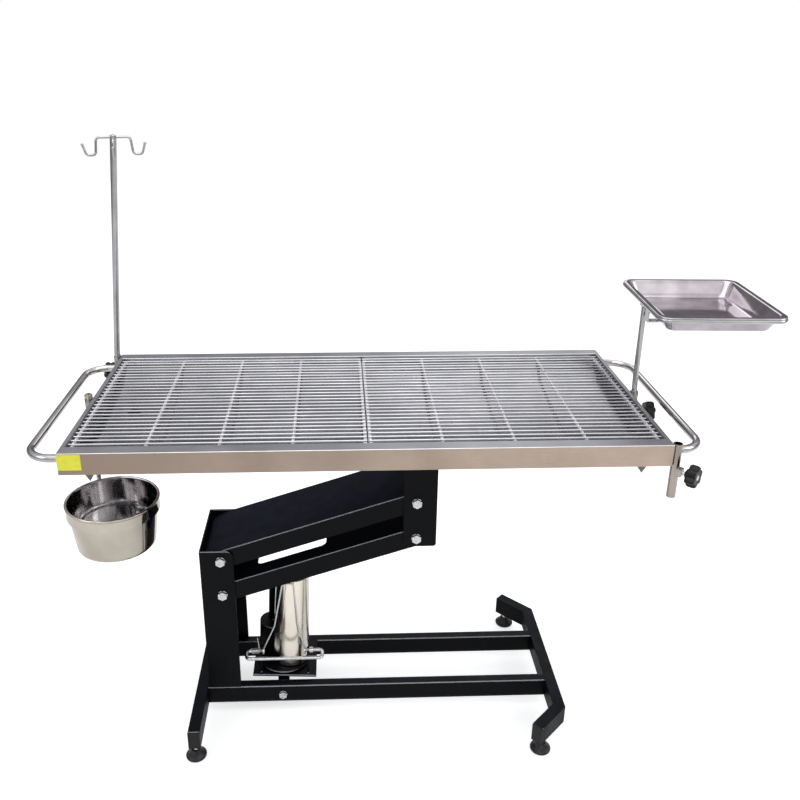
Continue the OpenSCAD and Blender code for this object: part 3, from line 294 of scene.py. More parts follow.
@dataclass(frozen=True)
class MouldedPlastic(Finish):
    """Injection-moulded nylon or rubber: spark-eroded mould grain, slightly greyer where hands rub it."""

    paler_tone: str
    grain_mm: float = 0.7

    def wire(self, tree: Tree, coords: Socket, shader: Node) -> None:
        """Mould grain as bump and a slow rub pattern in the colour."""
        rub = spread(tree, noise(tree, coords, 12.0, 4.0), 0.0, 1.0, 0.42, 0.72)
        tree.links.new(blend_color(tree, rub, self.color, self.paler_tone), shader.inputs["Base Color"])
        shader.inputs["Specular IOR Level"].default_value = 0.3
        relief(tree, noise(tree, coords, self.grain_mm, 2.0), 0.08, shader, 0.5)


@dataclass(frozen=True)
class VinylFilm(Finish):
    """Printed vinyl film: flat yellow ink that yellows unevenly, with a faint ripple from the adhesive."""

    shade: str

    def wire(self, tree: Tree, coords: Socket, shader: Node) -> None:
        """Uneven ink and a ripple under a clear coat."""
        shader.inputs["Coat Weight"].default_value = 0.4
        ink = spread(tree, noise(tree, coords, 9.0, 4.0), 0.0, 1.0)
        tree.links.new(blend_color(tree, ink, self.shade, self.color), shader.inputs["Base Color"])
        relief(tree, noise(tree, coords, 6.0, 1.0), 0.1, shader, 0.3)


# On both coats the upward faces carry dust plus a painted bluish sheen, strongest on the upper arm's navy
# plate, and the front folds a painted highlight.
BLACK_COAT = PowderCoat("black_powder_coat_on_mild_steel", "#07080b", 0.4)
NAVY_COAT = PowderCoat("black_powder_coat_dust_and_sheen_plate", "#07080c", 0.4, "#0d1836")
# Painted reflection: the wall steel's warm tone stands in for a warm floor mirrored in the walls, and the rim
# steel's cool grey for the sky.
WALL_STEEL = BrushedSteel(
    "stainless_sheet_ground_along", "#c9b7a6", 0.3, "#ad9c8d", Grain.ALONG_X, 0.9, 0.02, "#978579"
)
RIM_STEEL = BrushedSteel("stainless_sheet_ground_rim", "#a8a9ad", 0.42, "#909197")
LEDGE_STEEL = BrushedSteel("stainless_sheet_ground_ledge", "#7d7b79", 0.3, "#5a5857", Grain.ALONG_X, 1.1)
SOCKET_STEEL = BrushedSteel("stainless_tube_ground", "#b3aaa2", 0.16, "#857d77", Grain.ALONG_Z, 0.8)
TUBE_STEEL = PolishedSteel("stainless_tube_polished", "#c6c5c4", 0.1, "#a5a4a7", 90.0)
ROD_STEEL = PolishedSteel("stainless_rod_drawn_bright", "#cbcbce", 0.1, "#b2b2b7", 60.0)
CROSS_STEEL = PolishedSteel("stainless_bar_drawn", "#fafafa", 0.55, "#ececee", 22.0)
BASIN_STEEL = PolishedSteel("stainless_sheet_bright_annealed", "#a2a2a5", 0.14, "#74757a", 150.0, 110.0)
MIRROR_STEEL = PolishedSteel("stainless_sheet_pressed_and_buffed", "#c9c3c7", 0.05, "#a69fa5", 60.0, 34.0)
# The spun steel's warm tone and the paler bore steel inside the bucket are one sheet given painted
# reflections.
SPUN_STEEL = PolishedSteel("stainless_sheet_spun_and_buffed", "#c9c1b5", 0.06, "#aca397", 120.0)
BORE_STEEL = PolishedSteel("stainless_sheet_spun_inside", "#e4e2e2", 0.05, "#c6c4c5", 60.0)
# Painted highlight: pure white on the tray shell's front folds.
FOLD_HIGHLIGHT = PolishedSteel("stainless_fold_painted_highlight", "#ffffff", 0.3, "#ebebee", 30.0)
CHROME = PolishedSteel("steel_chromium_plated", "#f3efe6", 0.07, "#ddd8cd", 80.0)
COVER_CHROME = PolishedSteel("steel_tube_chromium_plated", "#fdf6e8", 0.17, "#ece4d4", 80.0)
ZINC = ZincPlate("steel_zinc_plated_bright", "#e6e5e2", 0.2)
BLACK_NYLON = MouldedPlastic("nylon_moulded_black", "#08080a", 0.4, "#131316")
BLACK_RUBBER = MouldedPlastic("rubber_moulded_black", "#151517", 0.42, "#3c3c40", 1.1)
YELLOW_FILM = VinylFilm("vinyl_film_yellow", "#fdfa44", 0.35, "#f1ec30")
WELD = PolishedSteel("stainless_weld_bead", "#a8a29a", 0.28, "#6f675f", 5.0)


def linked(name: str, bm: Shape) -> Piece:
    """Turns a bmesh into an object of the scene; the bmesh is freed."""
    mesh = bpy.data.meshes.new(name)
    bm.to_mesh(mesh)
    bm.free()
    piece = bpy.data.objects.new(name, mesh)
    bpy.context.scene.collection.objects.link(piece)
    return piece


def made_object(name: str, bm: Shape, finish: Finish, body: str, smooth: float = 35.0) -> Piece:
    """Turns a bmesh into a finished piece that rides on a body.

    Args:
        name: The piece's name.
        bm: Its mesh in metres, at its place; it is freed.
        finish: What it is dressed with.
        body: The CAD body that it moves with.
        smooth: Edges that turn less than this many degrees are shaded round.

    Returns:
        The new object.
    """
    limit = math.radians(smooth)
    for face in bm.faces:
        face.smooth = True
    for edge in bm.edges:
        edge.smooth = len(edge.link_faces) == 2 and edge.calc_face_angle(0.0) < limit
    piece = linked(name, bm)
    weight = piece.modifiers.new("face_weight", "WEIGHTED_NORMAL")
    weight.keep_sharp = True
    piece.data.materials.append(finish.material())
    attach(piece, body)
    log.info("%s rides on %s in %s", name, body, finish.name)
    return piece


def mesh_box(piece: Piece) -> tuple[list[float], list[float]]:
    """The lowest and the highest corner of a piece's mesh."""
    columns = list(zip(*(v.co for v in piece.data.vertices)))
    return [min(c) for c in columns], [max(c) for c in columns]


def outer_edges(bm: Shape, longer_mm: float) -> list[Edge]:
    """The straight outer folds of a shape that are longer than longer_mm."""
    convex = [e for e in bm.edges if len(e.link_faces) == 2 and e.is_convex]
    return [e for e in convex if e.calc_face_angle(0.0) > SHARP and e.calc_length() > longer_mm / 1000]


def dress_top(piece: Piece, top: Finish, fold: Finish) -> None:
    """Dresses all but a piece's outer end and side walls anew, in a cool grey that is a painted sky
    reflection beside the walls' warm painted floor reflection, and its front folds once more, in a painted
    white highlight.
    """
    piece.data.materials.append(top.material())
    piece.data.materials.append(fold.material())
    low, high = mesh_box(piece)
    for face in piece.data.polygons:
        gaps = [abs(face.center[k] - corner[k]) for k in (0, 1) for corner in (low, high)]
        wall = min(gaps) < 0.001
        leaning = face.normal.y < -0.2 and face.normal.z > 0.2
        face.material_index = 2 if leaning else int(face.normal.z > 0.5 or not wall)


def smoothed(
    node: str,
    finish: Finish,
    body: str,
    edge_mm: float = 0.0,
    longer_mm: float = 8.0,
    top: Finish | None = None,
    fold: Finish | None = None,
) -> Piece:
    """Stands a merged copy of a CAD node in for it, round faces shaded round and long outer edges eased.

    Args:
        node: The CAD node that the copy replaces.
        finish: What it is dressed with.
        body: The CAD body that it moves with.
        edge_mm: Radius of the eased edges, or 0 for none.
        longer_mm: Only straight edges longer than this are eased.
        top: What the faces away from the outer walls are dressed with, if that differs.
        fold: With top, the painted highlight that its eased edges that lean to the front are dressed with.

    Returns:
        The new object.
    """
    bm = bmesh.new()
    bm.from_mesh(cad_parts[node].data)
    bmesh.ops.remove_doubles(bm, verts=bm.verts, dist=2e-6)
    if edge_mm:
        bmesh.ops.dissolve_limit(
            bm, angle_limit=math.radians(1), verts=bm.verts, edges=bm.edges, delimit={"NORMAL"}
        )
        bmesh.ops.bevel(
            bm, geom=outer_edges(bm, longer_mm), offset=edge_mm / 1000, offset_type="OFFSET", affect="EDGES",
            segments=3, profile=0.5, material=-1, clamp_overlap=True,
        )
        bmesh.ops.triangulate(bm, faces=[f for f in bm.faces if len(f.verts) > 4])
    piece = made_object(node + "_formed", bm, finish, body)
    if top and fold:
        dress_top(piece, top, fold)
    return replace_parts(piece, node)


def extruded(bm: Shape, edges: list[Edge]) -> tuple[list[Vert], list[Edge]]:
    """Extrudes a loop of edges once, and gives the new loop's vertices and edges."""
    grown = bmesh.ops.extrude_edge_only(bm, edges=edges)["geom"]
    return [g for g in grown if isinstance(g, Vert)], [g for g in grown if isinstance(g, Edge)]


def stood(bm: Shape, foot: Vector, axis: Vector) -> Shape:
    """Moves a shape that was built round Z to stand on foot along axis, a unit vector."""
    turn = Z.rotation_difference(axis).to_matrix().to_4x4()
    bmesh.ops.transform(bm, matrix=Matrix.Translation(foot) @ turn, verts=bm.verts)
    return bm


def turned(profile: Sequence[Pair], foot: Vector, axis: Vector, steps: int) -> Shape:
    """Spins a profile round an axis.

    Args:
        profile: Radius and height pairs in millimetres, from one end of the axis to the other.
        foot: The axis's foot, in metres.
        axis: The axis's direction.
        steps: Faces round the axis.

    Returns:
        The closed shape, its faces outwards.
    """
    bm = bmesh.new()
    points = [bm.verts.new((r / 1000, 0, h / 1000)) for r, h in profile]
    edges = [bm.edges.new(pair) for pair in zip(points, points[1:])]
    bmesh.ops.spin(
        bm, geom=points + edges, cent=(0, 0, 0), axis=(0, 0, 1), angle=math.tau, steps=steps,
        use_merge=True, use_duplicate=False,
    )
    bmesh.ops.remove_doubles(bm, verts=bm.verts, dist=1e-6)
    bmesh.ops.recalc_face_normals(bm, faces=bm.faces)
    return stood(bm, foot, axis.normalized())


def swept(
    path: Sequence[Vector], radius: float | Callable[[float], float], sides: int, closed: bool = False
) -> Shape:
    """Carries a round section along a path.

    Args:
        path: Points in metres.
        radius: The section's radius in millimetres, or a function of the share of the way along.
        sides: Faces round the section.
        closed: Whether the path's end joins its start.

    Returns:
        The tube, with closed ends and its faces outwards.
    """
    size = radius if callable(radius) else lambda share: radius
    count = len(path)
    places = []
    side = None
    for i, point in enumerate(path):
        ahead = path[(i + 1) % count] if closed or i + 1 < count else point
        behind = path[i - 1] if closed or i else point
        way = (ahead - behind).normalized()
        side = (side - way * side.dot(way)).normalized() if side else way.orthogonal().normalized()
        turn = Matrix((side, way.cross(side), way)).transposed().to_4x4()
        places.append(Matrix.Translation(point) @ turn @ Matrix.Scale(size(i / max(count - 1, 1)) / 1000, 4))
    bm = bmesh.new()
    ring = bmesh.ops.create_circle(bm, cap_ends=False, radius=1.0, segments=sides)["verts"]
    edges = list(bm.edges)
    first = edges
    bmesh.ops.transform(bm, matrix=places[0], verts=ring)
    for before, here in zip(places, places[1:]):
        ring, edges = extruded(bm, edges)
        bmesh.ops.transform(bm, matrix=here @ before.inverted(), verts=ring)
    if closed:
        bmesh.ops.bridge_loops(bm, edges=edges + first)
    else:
        for loop in (first, edges):
            bmesh.ops.contextual_create(bm, geom=loop)
    bmesh.ops.recalc_face_normals(bm, faces=bm.faces)
    return bm


def rounded_path(points: Sequence[Vector], radius: float) -> list[Vector]:
    """Points of a path whose corners are rounded.

    Args:
        points: The path's corners, in metres.
        radius: Radius of each bend in millimetres.

    Returns:
        The path's points from its first to its last.
    """
    r, steps = radius / 1000, 8
    path = [points[0]]
    for a, p, b in zip(points, points[1:], points[2:]):
        u, w = (a - p).normalized(), (b - p).normalized()
        half = u.angle(w) / 2
        centre = p + (u + w).normalized() * r / math.sin(half)
        start, end = p + u * r / math.tan(half) - centre, p + w * r / math.tan(half) - centre
        turn = start.rotation_difference(end)
        for i in range(steps + 1):
            share = Matrix.Rotation(turn.angle * i / steps, 3, turn.axis) @ start
            path.append(centre + share)
    return path + [points[-1]]


def joined(parts: Sequence[Shape]) -> Shape:
    """Puts several bmeshes into one; the given ones are freed."""
    whole = bmesh.new()
    for part in parts:
        mesh = bpy.data.meshes.new("part")
        part.to_mesh(mesh)
        part.free()
        whole.from_mesh(mesh)
        bpy.data.meshes.remove(mesh)
    return whole


def weld_seam(a: Vector, b: Vector, size: float, pitch: float = 2.6) -> Shape:
    """A fusion weld along a straight joint, as overlapping ripples.

    Args:
        a: The seam's start, in metres.
        b: Its end.
        size: Half its width in millimetres.
        pitch: Millimetres from one ripple to the next.

    Returns:
        The seam's mesh.
    """
    ripples = max(3, round((b - a).length * 1000 / pitch))
    steps = ripples * 3
    path = [a.lerp(b, i / steps) for i in range(steps + 1)]

    def ripple(share: float) -> float:
        """The bead's radius in millimetres at a share of the seam."""
        wave = abs(math.sin(math.pi * share * ripples))
        return size * (0.86 + 0.2 * wave + 0.05 * math.sin(share * 23))

    return swept(path, ripple, 8)


def weld_ring(x: float, y: float, z: float, radius: float) -> Shape:
    """A fusion weld round a tube that leaves a wall along X.

    Args:
        x: The wall's place in millimetres.
        y: The tube's axis, sideways.
        z: The tube's axis, upwards.
        radius: The ring's radius in millimetres.

    Returns:
        The closed bead.
    """
    angles = [math.tau * i / 40 for i in range(40)]
    ring = [place(x, y + radius * math.cos(a), z + radius * math.sin(a)) for a in angles]
    return swept(ring, lambda share: 1.5 + 0.4 * abs(math.sin(share * 60)), 8, True)


@dataclass
class Bolt:
    """A hexagon bolt with a washer, seen at its head or at its nut and thread."""

    across: float
    height: float
    thread: float = 0.0
    washer: float = 1.6

    def build(self, foot: Vector, axis: Vector) -> Shape:
        """Builds the head at foot, facing along axis.

        Args:
            foot: The middle of the seat, in metres.
            axis: The direction away from the seat.

        Returns:
            The bolt's mesh.
        """
        head = bmesh.new()
        corner = self.across / math.sqrt(3) / 1000
        low, high = self.washer / 1000, self.height / 1000
        bmesh.ops.create_cone(
            head, cap_ends=True, segments=6, radius1=corner, radius2=corner, depth=high - low
        )
        bmesh.ops.translate(head, vec=(0, 0, (high + low) / 2), verts=head.verts)
        rim = [e for e in head.edges if all(v.co.z > (high + low) / 2 for v in e.verts)]
        bmesh.ops.bevel(head, geom=rim, offset=0.0014, affect="EDGES", segments=3, profile=0.5, material=-1)
        r = self.across / 2
        ring = [
            (0, 0), (r + 0.8, 0), (r + 1.2, 0.4),
            (r + 1.2, self.washer - 0.3), (r + 0.8, self.washer), (0, self.washer),
        ]
        parts = [stood(head, foot, axis), turned(ring, foot, axis, 40)]
        if self.thread:
            core, seat, tip = self.across / 3, self.height - 0.5, self.height + self.thread
            teeth = [(0, seat)]
            for k in range(int(self.thread / PITCH)):
                teeth += [(core - 0.6, seat + PITCH * k), (core, seat + PITCH * (k + 0.5))]
            teeth += [(core - 1.2, tip), (0, tip)]
            parts.append(turned(teeth, foot, axis, 32))
        return joined(parts)


def through_bolt(x: float, z: float, head: Bolt, nut: Bolt, radius: float, steps: int) -> list[Shape]:
    """A bolt through both sides of the base or the bracket.

    Args:
        x: The bolt's place along the table, in millimetres.
        z: Its height.
        head: What is seen in front.
        nut: What is seen behind.
        radius: The shank's radius.
        steps: Faces round the shank.

    Returns:
        The head, the nut and the shank.
    """
    front = place(x, -BASE_FACE, z)
    shank = [(0, 0), (radius, 0), (radius, 2 * BASE_FACE), (0, 2 * BASE_FACE)]
    return [head.build(front, -Y), nut.build(place(x, BASE_FACE, z), Y), turned(shank, front, Y, steps)]


def ray_kinds(tree: Tree) -> tuple[Socket, Socket]:
    """Whether a ray is glossy, and whether the eye sees what it meets, straight or through glass."""
    rays = add(tree, "LightPath")
    either = {0: rays.outputs["Is Camera Ray"], 1: rays.outputs["Is Transmission Ray"]}
    seen = add(tree, "Math", {"operation": "MAXIMUM"}, either)
    return rays.outputs["Is Glossy Ray"], seen.outputs[0]


@dataclass
class Studio:
    """The pale floor, the lamps, the world and the camera at the photo's viewing angle."""

    camera_at: Triple = (-61.27, -1907.73, 1677.3)
    yaw: float = 2.02
    pitch: float = 21.58
    roll: float = 0.1
    lens: float = 38.48
    shift: Pair = (0.0414, -0.0292)
    floor_glow: float = 0.62
    floor_mirror: float = 0.25
    fill: float = 0.62
    aim: Triple = (0.0, 0.0, 0.6)
    lamps: tuple[tuple[str, Triple, float, float], ...] = (
        ("lamp_above", (-0.2, -0.3, 3.4), 2.6, 26.0),
        ("lamp_left", (-2.9, -1.6, 2.4), 1.6, 13.0),
        ("lamp_right", (2.8, -1.2, 2.0), 1.4, 18.0),
        ("lamp_rear", (0.83, 2.8, 2.35), 1.3, 6.5),
    )

    def build(self) -> None:
        """Makes the camera, the lamps, the floor and the world."""
        scene = bpy.context.scene
        scene.view_settings.view_transform = "Standard"
        self.make_camera(scene)
        self.make_lamps(scene)
        self.make_floor()
        self.make_world(scene)

    def make_camera(self, scene: bpy.types.Scene) -> None:
        """Sets the camera that the photo was fitted with."""
        data = bpy.data.cameras.new("photo_camera")
        data.sensor_width = 36.0
        data.lens = self.lens
        data.shift_x, data.shift_y = self.shift
        data.clip_start, data.clip_end = 0.05, 60.0
        camera = bpy.data.objects.new("photo_camera", data)
        scene.collection.objects.link(camera)
        turn = (
            Matrix.Rotation(math.radians(-self.yaw), 4, "Z")
            @ Matrix.Rotation(math.radians(90 - self.pitch), 4, "X")
            @ Matrix.Rotation(math.radians(self.roll), 4, "Z")
        )
        camera.matrix_world = Matrix.Translation(place(*self.camera_at)) @ turn
        scene.camera = camera

    def make_lamps(self, scene: bpy.types.Scene) -> None:
        """Sets soft square lamps that all look at the tabletop."""
        for name, at, size, watts in self.lamps:
            data = bpy.data.lights.new(name, "AREA")
            data.shape = "SQUARE"
            data.size = size
            data.energy = watts
            lamp = bpy.data.objects.new(name, data)
            scene.collection.objects.link(lamp)
            way = Vector(self.aim) - Vector(at)
            lamp.matrix_world = Matrix.Translation(at) @ way.to_track_quat("-Z", "Y").to_matrix().to_4x4()

    def make_floor(self) -> None:
        """Lays a pale floor that keeps the table's shadow, just below the feet."""
        bm = bmesh.new()
        bmesh.ops.create_grid(bm, x_segments=1, y_segments=1, size=9.0)
        bmesh.ops.translate(bm, vec=(0, 0, -0.0006), verts=bm.verts)
        floor = linked("studio_floor", bm)
        made = bpy.data.materials.new("studio_floor_paper")
        tree = cleared(made)
        coords = add(tree, "TexCoord").outputs["Object"]
        fibre = spread(tree, noise(tree, coords, 400.0), 0.93, 0.97)
        grey = add(tree, "CombineColor", links={0: fibre, 1: fibre, 2: fibre})
        matt = add(tree, "BsdfDiffuse", links={"Color": grey.outputs[0]})
        glow = add(tree, "Emission", {"Color": WHITE})
        glossy, seen = ray_kinds(tree)
        eye = {"operation": "MULTIPLY", 1: self.floor_glow}
        mirror = {"operation": "MULTIPLY_ADD", 1: self.floor_mirror}
        level = add(tree, "Math", eye, {0: seen}).outputs[0]
        level = add(tree, "Math", mirror, {0: glossy, 2: level}).outputs[0]
        tree.links.new(level, glow.inputs["Strength"])
        both = add(tree, "AddShader", links={0: matt.outputs[0], 1: glow.outputs[0]})
        add(tree, "OutputMaterial", links={"Surface": both.outputs[0]})
        floor.data.materials.append(made)

    def make_world(self, scene: bpy.types.Scene) -> None:
        """A white world for the eye, and for mirrors a room with upright panes of light, darker behind."""
        world = bpy.data.worlds.new("studio_world")
        scene.world = world
        tree = cleared(world)
        coords = add(tree, "TexCoord").outputs["Generated"]
        way = add(tree, "SeparateXYZ", links={0: coords})
        slant = {"operation": "MULTIPLY_ADD", 1: -0.3}
        height = add(tree, "Math", slant, {0: way.outputs["Y"], 2: way.outputs["Z"]}).outputs[0]
        rise = spread(tree, height, 0.0, 1.0, 0.02, 0.5)
        plain = blend_color(tree, rise, "#8b888c", "#ffffff")
        columns = {"Scale": (1.7, 1.7, 0.3), "Location": (3.1, 0.0, 0.0)}
        upright = add(tree, "Mapping", columns, {"Vector": coords}).outputs[0]
        coarse = {"Scale": 2.0, "Detail": 1.0}
        panes = add(tree, "TexNoise", coarse, {"Vector": upright}).outputs["Fac"]
        places = spread(tree, panes, 0.7, 1.08, 0.42, 0.58)
        skylight = spread(tree, height, 1.0, 1.5, 0.55, 0.8)
        level = add(tree, "Math", {"operation": "MULTIPLY"}, {0: places, 1: skylight}).outputs[0]
        dimmed = {0: plain, "Scale": level}
        room = add(tree, "VectorMath", {"operation": "SCALE"}, dimmed).outputs[0]
        diffuse = {"Color": linear("#f4f6fa"), "Strength": self.fill}
        fill = add(tree, "Background", diffuse).outputs[0]
        mirror = add(tree, "Background", {"Strength": 1.0}, {"Color": room}).outputs[0]
        white = add(tree, "Background", {"Color": WHITE, "Strength": 1.0}).outputs[0]
        glossy, seen = ray_kinds(tree)
        lit = add(tree, "MixShader", links={0: glossy, 1: fill, 2: mirror}).outputs[0]
        whole = add(tree, "MixShader", links={0: seen, 1: lit, 2: white}).outputs[0]
        add(tree, "OutputWorld", links={"Surface": whole})


@dataclass
class BaseFrame:
    """The bent foot bars, the two rails, the column, their caps, bolts and feet."""

    pivots: Pair = (378.5, 477.0)
    pivot_x: float = -358.5
    cradle: Pair = (-218.0, 61.2)
    tube_edge: float = 3.0
    plate_edge: float = 1.4
    ribs: int = 24
    rib_depth: float = 0.8
    skirt: Pair = (20.5, 2.1)
    feet: dict[str, Pair] = field(default_factory=lambda: {
        "front_left": (-429.0, -245.0), "rear_left": (-429.0, 245.0),
        "front_right": (438.64, -251.36), "rear_right": (438.64, 251.36),
    })

    def build(self) -> None:
        """Builds the base and all that stands on it."""
        for node in ("foot_bar_left", "foot_bar_right", "base_rail_front", "base_rail_rear"):
            smoothed(node, BLACK_COAT, "base", self.tube_edge, 24.0)
        smoothed("column", BLACK_COAT, "base", self.plate_edge, 24.0)
        smoothed("bar_end_caps", BLACK_NYLON, "base", 0.8, 20.0)
        self.make_bolts()
        for corner, (x, y) in self.feet.items():
            self.make_foot(corner, x, y)

    def make_bolts(self) -> None:
        """Builds the pivot bolts, the cradle bolt and the lock nuts."""
        parts = []
        for z in self.pivots:
            parts += through_bolt(self.pivot_x, z, Bolt(22, 9), Bolt(22, 13, 4.5), 8, 40)
        piece = made_object("column_bolts_turned", joined(parts), ZINC, "base")
        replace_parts(piece, "column_pivot_bolts")
        parts = through_bolt(*self.cradle, Bolt(19, 8), Bolt(19, 10, 3.0), 6, 32)
        piece = made_object("cradle_bolt_turned", joined(parts), ZINC, "base")
        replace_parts(piece, "cradle_bolt")
        smoothed("foot_lock_nuts", ZINC, "base", 0.7, 6.0)

    def make_foot(self, corner: str, x: float, y: float) -> None:
        """Builds one levelling foot: a rubber pad, ribbed round its skirt, and its threaded stud."""
        body = "foot_" + corner
        profile = [
            (0, 0), (21, 0), (23.2, 0.6), (25.4, 2.4), (26, 4), (26, 7), (25, 8.6), (22.6, 10.2),
            (20.6, 11.6), (19.6, 13.2), (16.4, 16), (14.2, 19.4), (13, 21.4), (12.6, 23), (11.8, 24), (0, 24),
        ]
        pad = turned(profile, place(x, y, 0), Z, 72)
        for vert in pad.verts:
            spoke = vert.co - place(x, y, vert.co.z * 1000)
            if spoke.length * 1000 > self.skirt[0] and vert.co.z * 1000 > self.skirt[1]:
                angle = math.atan2(spoke.y, spoke.x)
                wave = 0.5 + 0.5 * math.cos(self.ribs * angle)
                vert.co -= spoke.normalized() * self.rib_depth / 1000 * wave
        made_object(f"foot_pad_{corner}", pad, BLACK_RUBBER, body, 50.0)
        teeth = [(0, 23)]
        for k in range(26):
            teeth += [(4.3, 23 + PITCH * k), (4.98, 23 + PITCH * (k + 0.5))]
        teeth += [(4.2, 62.4), (0, 63.2)]
        stud = made_object(f"foot_stud_{corner}", turned(teeth, place(x, y, 0), Z, 28), ZINC, body)
        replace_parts(stud, f"levelling_foot_{corner}")


@dataclass
class Lift:
    """The two arms, the bracket under the table and their sleeves and bolts."""

    edge: float = 1.4
    right: Pair = (124.63, 534.55)
    gap: float = 98.5

    def build(self) -> None:
        """Builds both arms and the bracket."""
        smoothed("lower_arm", BLACK_COAT, "lower_arm", self.edge, 20.0)
        smoothed("upper_arm", NAVY_COAT, "upper_arm", self.edge, 20.0)
        smoothed("push_bracket", BLACK_COAT, "lower_arm", self.edge, 20.0)
        smoothed("table_bracket", BLACK_COAT, "table", self.edge, 20.0)
        smoothed("lower_arm_sleeves", ZINC, "lower_arm")
        smoothed("upper_arm_sleeves", ZINC, "upper_arm")
        smoothed("ram_pin", ZINC, "lower_arm")
        parts = []
        x, z = self.right
        for k in (0, 1):
            parts += through_bolt(x, z + self.gap * k, Bolt(22, 9), Bolt(22, 13, 4.5), 8, 40)
        piece = made_object("bracket_bolts_turned", joined(parts), ZINC, "table")
        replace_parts(piece, "table_pivot_bolts")


@dataclass
class Tabletop:
    """The folded shell, the basin, the supports, handles, sockets and label."""

    half_l: float = 650.0
    handle_y: float = 267.0
    handle_z: float = 850.0
    handle_weld: float = 9.6
    seam: Pair = (834.0, 872.0)
    seam_side: float = 4.6

    def build(self) -> None:
        """Builds the tabletop's fixed pieces."""
        for node in ("support_rails", "support_crosses"):
            smoothed(node, BLACK_COAT, "table", 1.6, 12.0)
        # The shell's warm walls and cool tops are painted reflections, and its white front folds a painted
        # highlight.
        smoothed("tray_shell", WALL_STEEL, "table", 1.8, 30.0, RIM_STEEL, FOLD_HIGHLIGHT)
        smoothed("edge_stiffeners", LEDGE_STEEL, "table", 0.9, 30.0)
        smoothed("basin", BASIN_STEEL, "table", 0.8, 30.0)
        smoothed("drain_spout", LEDGE_STEEL, "table")
        for side in ("left", "right"):
            smoothed(f"handle_{side}", TUBE_STEEL, "table")
        smoothed("corner_sockets", SOCKET_STEEL, "table")
        smoothed("middle_sockets", SOCKET_STEEL, "table")
        smoothed("socket_nuts", SOCKET_STEEL, "table", 0.8, 6.0)
        smoothed("label_plate", YELLOW_FILM, "table")
        self.make_welds()

    def make_welds(self) -> None:
        """Lays the weld seams of the handles and sockets on the end walls."""
        parts = []
        for side in (-1, 1):
            for leg in (-self.handle_y, self.handle_y):
                parts.append(weld_ring(side * (self.half_l + 0.4), leg, self.handle_z, self.handle_weld))
        for x, y in SOCKETS.values():
            face = math.copysign(self.half_l + 1, x)
            for off in (-self.seam_side, self.seam_side):
                low, high = (place(face, y + off, z) for z in self.seam)
                parts.append(weld_seam(low, high, 1.7))
        made_object("end_wall_welds", joined(parts), WELD, "table", 60.0)


class Grille:
    """The two lift-out grille panels of crossing rods."""

    def build(self) -> None:
        """Builds both panels."""
        for side in ("left", "right"):
            smoothed(f"grille_frame_{side}", CROSS_STEEL, f"grille_{side}")
            smoothed(f"grille_rods_{side}", ROD_STEEL, f"grille_{side}")


@dataclass
class StarKnob:
    """A six-lobed clamping knob on its screw."""

    body: str
    seat: Triple
    way: Triple
    radius: float = 25.0
    reach: float = 42.0

    def build(self) -> None:
        """Builds the knob from rings of lobes, with a hub and a metal cap.

        Each level says its share of the full radius, how deep it drops between the lobes and its height.
        """
        levels = [
            (0.66, 2.0, -11.0), (0.90, 5.4, -10.4), (0.97, 6.4, -8.6), (1.0, 6.8, -5.0), (1.0, 6.8, 4.0),
            (0.97, 6.6, 8.0), (0.90, 5.8, 10.2), (0.78, 4.2, 11.0), (0.5, 1.2, 10.2), (0.34, 0.0, 9.6),
        ]
        bm = bmesh.new()
        bmesh.ops.create_circle(bm, cap_ends=True, radius=1.0, segments=96)
        verts, edges = list(bm.verts), list(bm.edges)
        for i, (share, drop, height) in enumerate(levels):
            if i:
                verts, edges = extruded(bm, edges)
            for vert in verts:
                angle = math.atan2(vert.co.y, vert.co.x)
                wave = 0.5 - 0.5 * math.cos(6 * angle)
                out = (self.radius * share - drop * wave ** 1.5) / 1000
                vert.co = (out * math.cos(angle), out * math.sin(angle), height / 1000)
        bmesh.ops.contextual_create(bm, geom=edges)
        bmesh.ops.recalc_face_normals(bm, faces=bm.faces)
        axis = Vector(self.way).normalized()
        middle = place(*self.seat) + axis * self.reach / 1000
        hub = turned([(0, -17), (7.6, -17), (9, -16), (10.5, -10), (0, -10)], middle, axis, 40)
        whole = joined([stood(bm, middle, axis), hub])
        body = self.body
        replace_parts(made_object(body + "_lobed", whole, BLACK_NYLON, body, 40.0), body)
        disc = [(0, 9.2), (6.4, 9.2), (6.4, 10.0), (5.6, 10.6), (3.0, 11.0), (0, 11.0)]
        made_object(body + "_cap", turned(disc, middle, axis, 32), ZINC, body)
        smoothed(body.replace("knob_", "knob_screw_"), ZINC, body)


